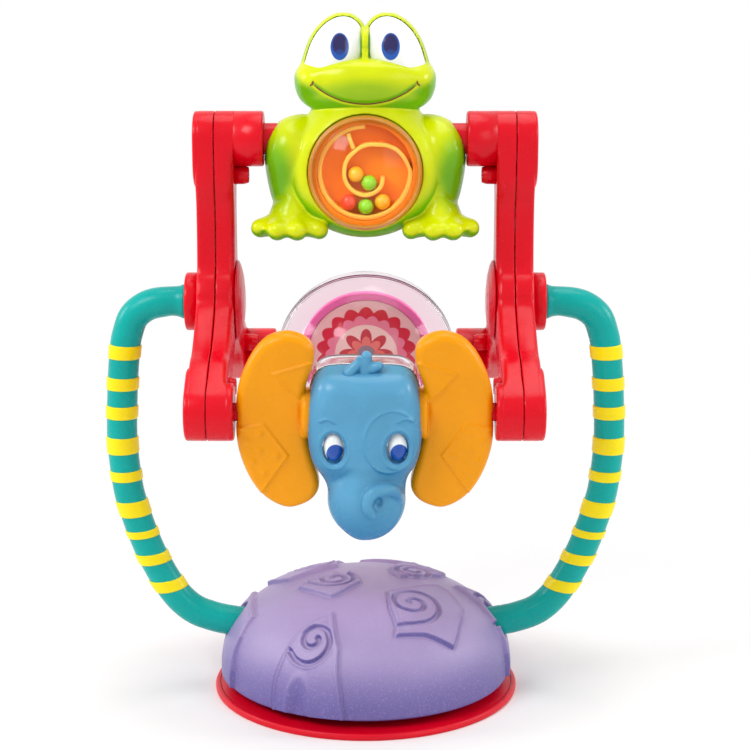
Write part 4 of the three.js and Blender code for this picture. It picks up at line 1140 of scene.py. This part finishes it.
def elephant_face(p):
    x, y, z = p.T
    side = polygon(x, z, head_outline) + 0.15 * np.maximum(-y, 0) * smooth_step(-2, 12, z)
    front = face_front - 0.5 + 0.008 * x ** 2 + 0.014 * np.maximum(z - 3, 0) ** 2 + 3.4 * smooth_step(-13, -22, z)
    trunk = ellipsoid(p, (0, -6.4, -27.8), (12.1, 9.9, 13.4))
    face = blend(cut(side, front - y, 4.6), trunk, 0.8 + 4.4 * smooth_step(-8.5, -1.5, x))
    curl = np.full(len(p), 1e3, p.dtype)
    for a, b, r0, r1 in zip(curl_path, curl_path[1:], curl_radii, curl_radii[1:]):
        curl = np.minimum(curl, rod(p, a, b, r0, r1))
    face = carve(blend(face, curl, 0.8), ellipsoid(p, (4.6, -17.4, -24.9), (1.8, 3.6, 2.3)), 0.7)
    ring = oval_gap(x, z, *patch_ring)
    before = y < -6
    face = face - (0.25 * smooth_step(0.4, -0.4, ring) + 0.42 * bell(ring, 0.45)) * before
    for centre, (rx, rz) in elephant_eyes.values():
        lid = oval_gap(x, z, centre, (rx + 0.75, rz + 0.6))
        face = face + 0.55 * smooth_step(0.5, -0.5, lid) * before
        face = face - 0.25 * bell(lid - 0.7, 0.4) * before
        face = carve(face, np.maximum(oval_gap(x, z, centre, (rx + 0.15, rz + 0.15)), y + 10.2), 0.15)
    for cx, cz in brows:
        bow = length((x - cx) / 2.4, (z - cz + 1.2) / 1.7)
        brow_gap = np.maximum(np.abs(bow - 1) * 1.9, np.maximum(cz - 0.5 - z, 0) * 1.5)
        face = face - 0.5 * bell(brow_gap, 0.42) * before
    hollow = np.maximum(cut(side + wall, front + wall - y, 3.0), -12 - z)
    face = cut(carve(face, hollow, 0.3), y + 0.15, 0.4)
    return carve(face, length(y, z) - axle_bore, 0.3)


def elephant_back(p):
    x, y, z = p.T
    side = polygon(x, z, skull_outline)
    hollow = cut(side + clear_wall, y - skull_back + clear_wall, 2.8)
    shell = cut(carve(cut(side, y - skull_back, 4.2), hollow, 0.2), 0.15 - y, 0.2)
    return carve(shell, length(y, z) - axle_bore, 0.3)


def elephant_eye(p, side):
    x, y, z = p.T
    (cx, cz), (rx, rz) = elephant_eyes[side]
    dome = ellipsoid(p, (cx, -9.0, cz), (rx, 4.4, rz))
    return cut(np.maximum(dome, oval_gap(x, z, (cx, cz), (rx, rz))), y + 9.6, 0.1)


def tuft(p):
    """Short locks of hair at the top of the head."""
    locks = rod(p, (0.3, -3.8, 15.6), (0.6, -4.4, 21.2), 2.8, 1.7)
    locks = blend(locks, rod(p, (-5.0, -5.4, 15.8), (-2.0, -4.6, 18.8), 2.1, 1.6), 0.6)
    locks = blend(locks, rod(p, (2.4, -4.6, 17.0), (4.4, -5.0, 18.0), 2.0, 1.6), 0.6)
    return blend(locks, rod(p, (-1.0, -4.4, 17.4), (-1.8, -5.0, 20.6), 1.3, 0.8), 0.5)


ear_outline = smooth_outline([
    (16.3, 18.3), (16.9, 23.8), (20.9, 26.9), (26.3, 27.7), (32.5, 24.8), (37.5, 17.7), (40.9, 8.3), (41.6, -2.7),
    (41.0, -11.9), (37.9, -21.6), (32.9, -29.2), (26.3, -33.1), (20.9, -32.3), (16.7, -29.4), (15.0, -24.4),
    (17.2, -15.0), (19.2, -3.5), (19.2, 8.3)], 4)
ear_patch = [(43.0, -3.9), (32.6, -1.9), (24.7, -13.3), (32.0, -24.2), (36.0, -31.0), (45.0, -16.0)]
ear_dots = [(33.8, -5.4), (38.1, -8.2), (34.1, -11.4), (28.6, -13.4), (36.4, -15.4), (32.8, -19.4)]
ear_crease = [(29.8, 15.2), (17.6, 18.8), (12.0, 16.0), (12.0, 8.0), (20.2, 4.8)]
ear_half_thickness = 5.0
ear_middle = (28, -2.7)


def ear(p):
    x, y, z = p.T
    half = ear_half_thickness - 0.35 - 0.0011 * ((x - ear_middle[0]) ** 2 + (z - ear_middle[1]) ** 2)
    front = -y - half
    for shape in (ear_patch, ear_crease):
        gap = polygon(x, z, shape)
        front = front - 0.42 * smooth_step(0.4, -0.4, gap) - 0.3 * bell(gap + 0.4, 0.5)
    for dx, dz in ear_dots:
        front = front - 0.6 * np.exp(-(x - dx) ** 2 - (z - dz) ** 2)
    body = cut(cut(polygon(x, z, ear_outline), front, 2.6), y - half, 2.6)
    body = fuse(body, drum(p, 0, (0, 0), 8.2, 14.8, 20.2, 1.2), 0.8)
    return carve(body, length(y, z) - thin_bar_radius - 0.4, 0.2)


# Ball: two clear halves, a pink ring and a picture with rings of petals

def ball_half(side):
    gap = 0.12
    arc = [(math.sin(a), math.cos(a)) for a in np.linspace(0, math.pi / 2, 40)]
    profile = [(radius * r, max(radius * h, gap))
               for radius, steps in ((ball_radius, arc), (ball_radius - clear_wall, arc[::-1])) for r, h in steps]
    points, faces = lathe(profile, 160, axis=1)
    return outward((points * (ball_half_width / ball_radius, side, 1), faces))


def picture_ring():
    front, back, inner = -2.35, -0.15, ring_radius - 2.8
    return turned([
        (ring_radius, back), (ring_radius, front, 0.5), (inner, front, 0.5), (inner, back - 0.8, 0.1),
        (inner - 0.9, back - 0.8, 0.1), (inner - 0.9, back, 0.1)], 160, 1, closed=True)


def picture_disc():
    radius = ring_radius - 2.8 - 0.3
    return turned([(0, -2.0), (radius, -2.0, 0.2), (radius, -1.25, 0.1), (0, -1.25)], 128, 1)


# Making everything

def make_base():
    piece("cup", suction_cup(), cup_vinyl, "base", "suction_cup", "cup_rubber")
    piece("dome", base_dome(), lavender_plastic, "base", "base_dome")
    plate_materials = frame["nodes"]["base_plate"].data.materials
    plate_materials.clear()
    plate_materials.append(lavender_plastic.owner)
    for label, side in hands.items():
        piece(f"{label}_tube", handle(side), turquoise_plastic, "base", f"{label}_handle")
        low, high = sorted((side * spindle_start, side * (hub_boss_face + 1.5)))
        piece(f"{label}_spindle", plain_bar(spindle_radius, low, high, 40), turquoise_plastic, "base", at=hub)
        for i, facts in enumerate(band_facts, 1):
            piece(f"{label}_band_{i}", band(side, *facts), yellow_plastic, "base", slot="turquoise_plastic")


def make_screws():
    small, large = screw_mesh(2.3, 1.2, 8.0), screw_mesh(3.6, 1.6, 3.0)
    washer = turned([(1.9, -0.8), (8.1, -0.8, 0.2), (8.1, 0.8, 0.2), (1.9, 0.8)], 64, 0, closed=True)

    def fixing(name, node, mesh, body, at):
        piece(name, mesh, screw_steel, body, node, "steel", at=at)

    def side_fixing(name, node, mesh, body, side, y=0, z=0):
        """A screw in a wheel side, its head towards the wheel's middle."""
        inner = min(abs(node_reach(node, 0, end)) for end in (0, 1))
        turned = mesh[0][:, [2, 1, 0]] * (-side, 1, side), mesh[1]
        fixing(name, node, turned, body, (side * (inner + screw_head), y, hub_height + z))

    for k in (1, 2, 3):
        node = f"base_screw_{k}"
        low, high = (np.array(c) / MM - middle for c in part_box(node))
        at = ((low[0] + high[0]) / 2, (low[1] + high[1]) / 2, low[2] + screw_head)
        fixing(f"base_fixing_{k}", node, (small[0] * (1, -1, -1), small[1]), "base", at)
    for label, side in hands.items():
        side_fixing(f"{label}_hub_fixing", f"{label}_hub_screw", large, "base", side)
        node = f"{label}_hub_washer"
        centre = (node_reach(node, 0, 0) + node_reach(node, 0, 1)) / 2
        fixing(f"{label}_washer", node, washer, "base", (centre, 0, hub_height))
        for turn, station in enumerate(("frog", "elephant", "ball")):
            side_fixing(f"{label}_{station}_fixing", f"{label}_{station}_arm_screw", small, "wheel", side,
                        *along_arm(turn, wheel_radius - boss_back))


def make_wheel():
    sides = (("inner_side", "inner_frame", inner_side()), ("outer_side", "outer_frame", outer_side()),
             ("cap", "hub_cap", hub_cap()))
    for label, side in hands.items():
        for name, node, mesh in sides:
            piece(f"{label}_{name}", mesh if side > 0 else mirrored(mesh), red_plastic, "wheel", f"{label}_{node}",
                  at=hub)
    for name, node, radius, low, high, at in (
            ("frog_bar", "frog_crossbar", bar_radius, -bar_end, bar_end, frog_axle),
            ("elephant_bar", "elephant_crossbar", thin_bar_radius, -bar_end, bar_end, elephant_axle),
            ("ball_left_stub", "ball_left_pin", thin_bar_radius, -bar_end, -pin_start, ball_axle),
            ("ball_right_stub", "ball_right_pin", thin_bar_radius, pin_start, bar_end, ball_axle)):
        piece(name, plain_bar(radius, low, high), red_plastic, "wheel", node, at=at)


def make_frog():
    def add(name, mesh, look, node=None, slot=None, **more):
        piece(name, mesh, look, "frog", node, slot, at=frog_axle, **more)

    for name, side in (("front", -1), ("back", 1)):
        low, high = (-40, min(-side, 19 * side), -35), (40, max(-side, 19 * side), 44)
        add(f"frog_{name}", field_mesh(lambda p: frog_body(p, side), low, high, 0.45), lime_plastic,
            f"frog_{name}_shell")
    pupils = [((side * 8.45 + 0.05, frog_axle[2] + 31.2), (3.05, 4.45)) for side in hands.values()]
    whites = eye_white("frog_eye_white", pupils, (0, 84, 180), (22, 12, 84))
    for label, side in hands.items():
        low, high = sorted((0, side * 23))
        mesh = field_mesh(lambda p: frog_eye(p, side), (low, -14, 14), (high, 0, 44), 0.45)
        add(f"frog_{label}_white", mesh, whites, f"frog_{label}_eye", "eye_white")
    add("frog_smile", frog_smile(), brown_paint, slot="lime_plastic")
    for name, mesh, look, node, slot, edges in (
            ("bezel", belly_bezel(), amber_plastic, "belly_bezel", None, None),
            ("lens", belly_lens(), window_material, "belly_lens", "clear_plastic", None),
            ("tray", maze_tray(), orange_plastic, "maze_tray", None, None),
            ("maze", maze_walls(), maze_plastic, None, "orange_plastic", 40)):
        add(name, moved(mesh, 0, -belly_drop), look, node, slot, flat_below=edges)
    for place, rgb in (("outer", "red"), ("outer", "green"), ("outer", "yellow"), ("inner", "yellow"),
                       ("inner", "green")):
        node = f"{place}_bead_{rgb}"
        piece(f"{node}_ball", bead_mesh(node), bead_looks[rgb], f"{place}_beads", node)


def make_elephant():
    def add(name, mesh, look, node=None, slot=None):
        piece(name, mesh, look, "elephant", node, slot, at=elephant_axle, lean=elephant_lean)

    add("elephant_front", field_mesh(elephant_face, (-20, -20.5, -43), (20, 1, 18.5), 0.4), sky_plastic,
        "elephant_face", "blue_plastic")
    add("elephant_skull", field_mesh(elephant_back, (-20, -0.5, -21), (20, 13, 20), 0.5), clear_material,
        "elephant_clear_back")
    add("elephant_tuft", field_mesh(tuft, (-8.5, -9.5, 13), (8.5, 0, 24), 0.3), sky_plastic, slot="blue_plastic")
    right_ear = field_mesh(ear, (13.5, -9.5, -35), (43, 9.5, 30), 0.4)
    for label, side in hands.items():
        (cx, cz), _ = elephant_eyes[label]
        iris_x, iris_y, iris_z = cx + (0.55 if side < 0 else 0.5), -13.2, cz - 1.55
        seen_z = elephant_axle[2] + math.cos(elephant_lean) * iris_z + math.sin(elephant_lean) * iris_y
        white = eye_white(f"elephant_{label}_white", [((iris_x, seen_z), (2.8, 3.5))], (16, 88, 182), (16, 74, 170))
        mesh = field_mesh(lambda p: elephant_eye(p, label), (cx - 5, -15, cz - 7), (cx + 5, -9, cz + 7), 0.25)
        add(f"elephant_{label}_eyeball", mesh, white, f"elephant_{label}_eye", "eye_white")
        add(f"elephant_{label}_flap", right_ear if side > 0 else mirrored(right_ear), ear_plastic,
            f"elephant_{label}_ear")


def make_ball():
    for name, mesh, look, node in (
            ("ball_front", ball_half(-1), pink_clear, "ball_front_half"),
            ("ball_back", ball_half(1), pink_clear, "ball_back_half"),
            ("ring", picture_ring(), pink_plastic, "picture_ring"),
            ("picture", picture_disc(), picture_print("picture_print"), "picture_disc")):
        piece(name, mesh, look, "ball", node, at=ball_axle, lean=ball_lean)


def make_stage():
    """A pale floor, soft lamps and a white surround."""
    reach = 6.0
    floor_data = bpy.data.meshes.new("floor")
    floor_data.from_pydata([(-reach, -reach, 0), (reach, -reach, 0), (reach, reach, 0), (-reach, reach, 0)], [],
                           [(0, 1, 2, 3)])
    floor = placed("floor", floor_data)
    n = Nodes("floor_paper")
    n.set(Base_Color=n.mix(n.noise(20, 2), (0.93, 0.93, 0.935, 1), (0.95, 0.95, 0.95, 1)), Roughness=0.9,
          Specular_IOR_Level=0.1)
    x, y, _ = n.split("Object")
    away = n.reach(x, y)
    paper_white = n.node("Emission")[0]
    n.show_mix(n.times(n.span(away, 0.06, 0.22), n.seen_directly()), paper_white)
    floor_data.materials.append(n.owner)

    white = (1.0, 1.0, 1.0, 1)
    studio = Nodes("studio", "worlds")
    bpy.context.scene.world = studio.owner
    studio.set(Color=white, Strength=0.44)
    seen = studio.node("Background", {"Color": white, "Strength": 1.0})[0]
    studio.show_mix(studio.seen_directly(), seen)

    aim = np.array([0, 0, 0.13])
    for name, place, size, power in (
            ("key", (-0.6, -0.6, 0.85), 0.4, 5.0), ("fill", (0.7, -0.75, 0.5), 0.5, 1.4),
            ("top", (0.1, 0.1, 1.1), 0.7, 3.8), ("left", (-0.85, 0.0, 0.45), 0.3, 2.3),
            ("right", (0.85, 0.0, 0.45), 0.3, 2.3)):
        data = bpy.data.lights.new(name, "AREA")
        data.shape, data.size, data.energy = "SQUARE", size, power
        lamp = placed(name, data)
        lamp.location = place
        x, y, z = unit(aim - place)
        lamp.rotation_euler = (math.acos(-z), 0, math.atan2(x, -y) + math.pi)


def make_camera():
    data = bpy.data.cameras.new("camera")
    data.lens, data.sensor_width, data.clip_start = camera_lens, 36.0, 0.01
    camera = placed("camera", data)
    camera.location = (camera_place + middle) * MM
    camera.rotation_euler = (math.pi / 2 - camera_drop, 0, 0)
    bpy.context.scene.camera = camera


make_camera()
make_stage()
make_base()
make_screws()
make_wheel()
make_frog()
make_elephant()
make_ball()
bpy.context.scene.view_settings.view_transform = "Standard"
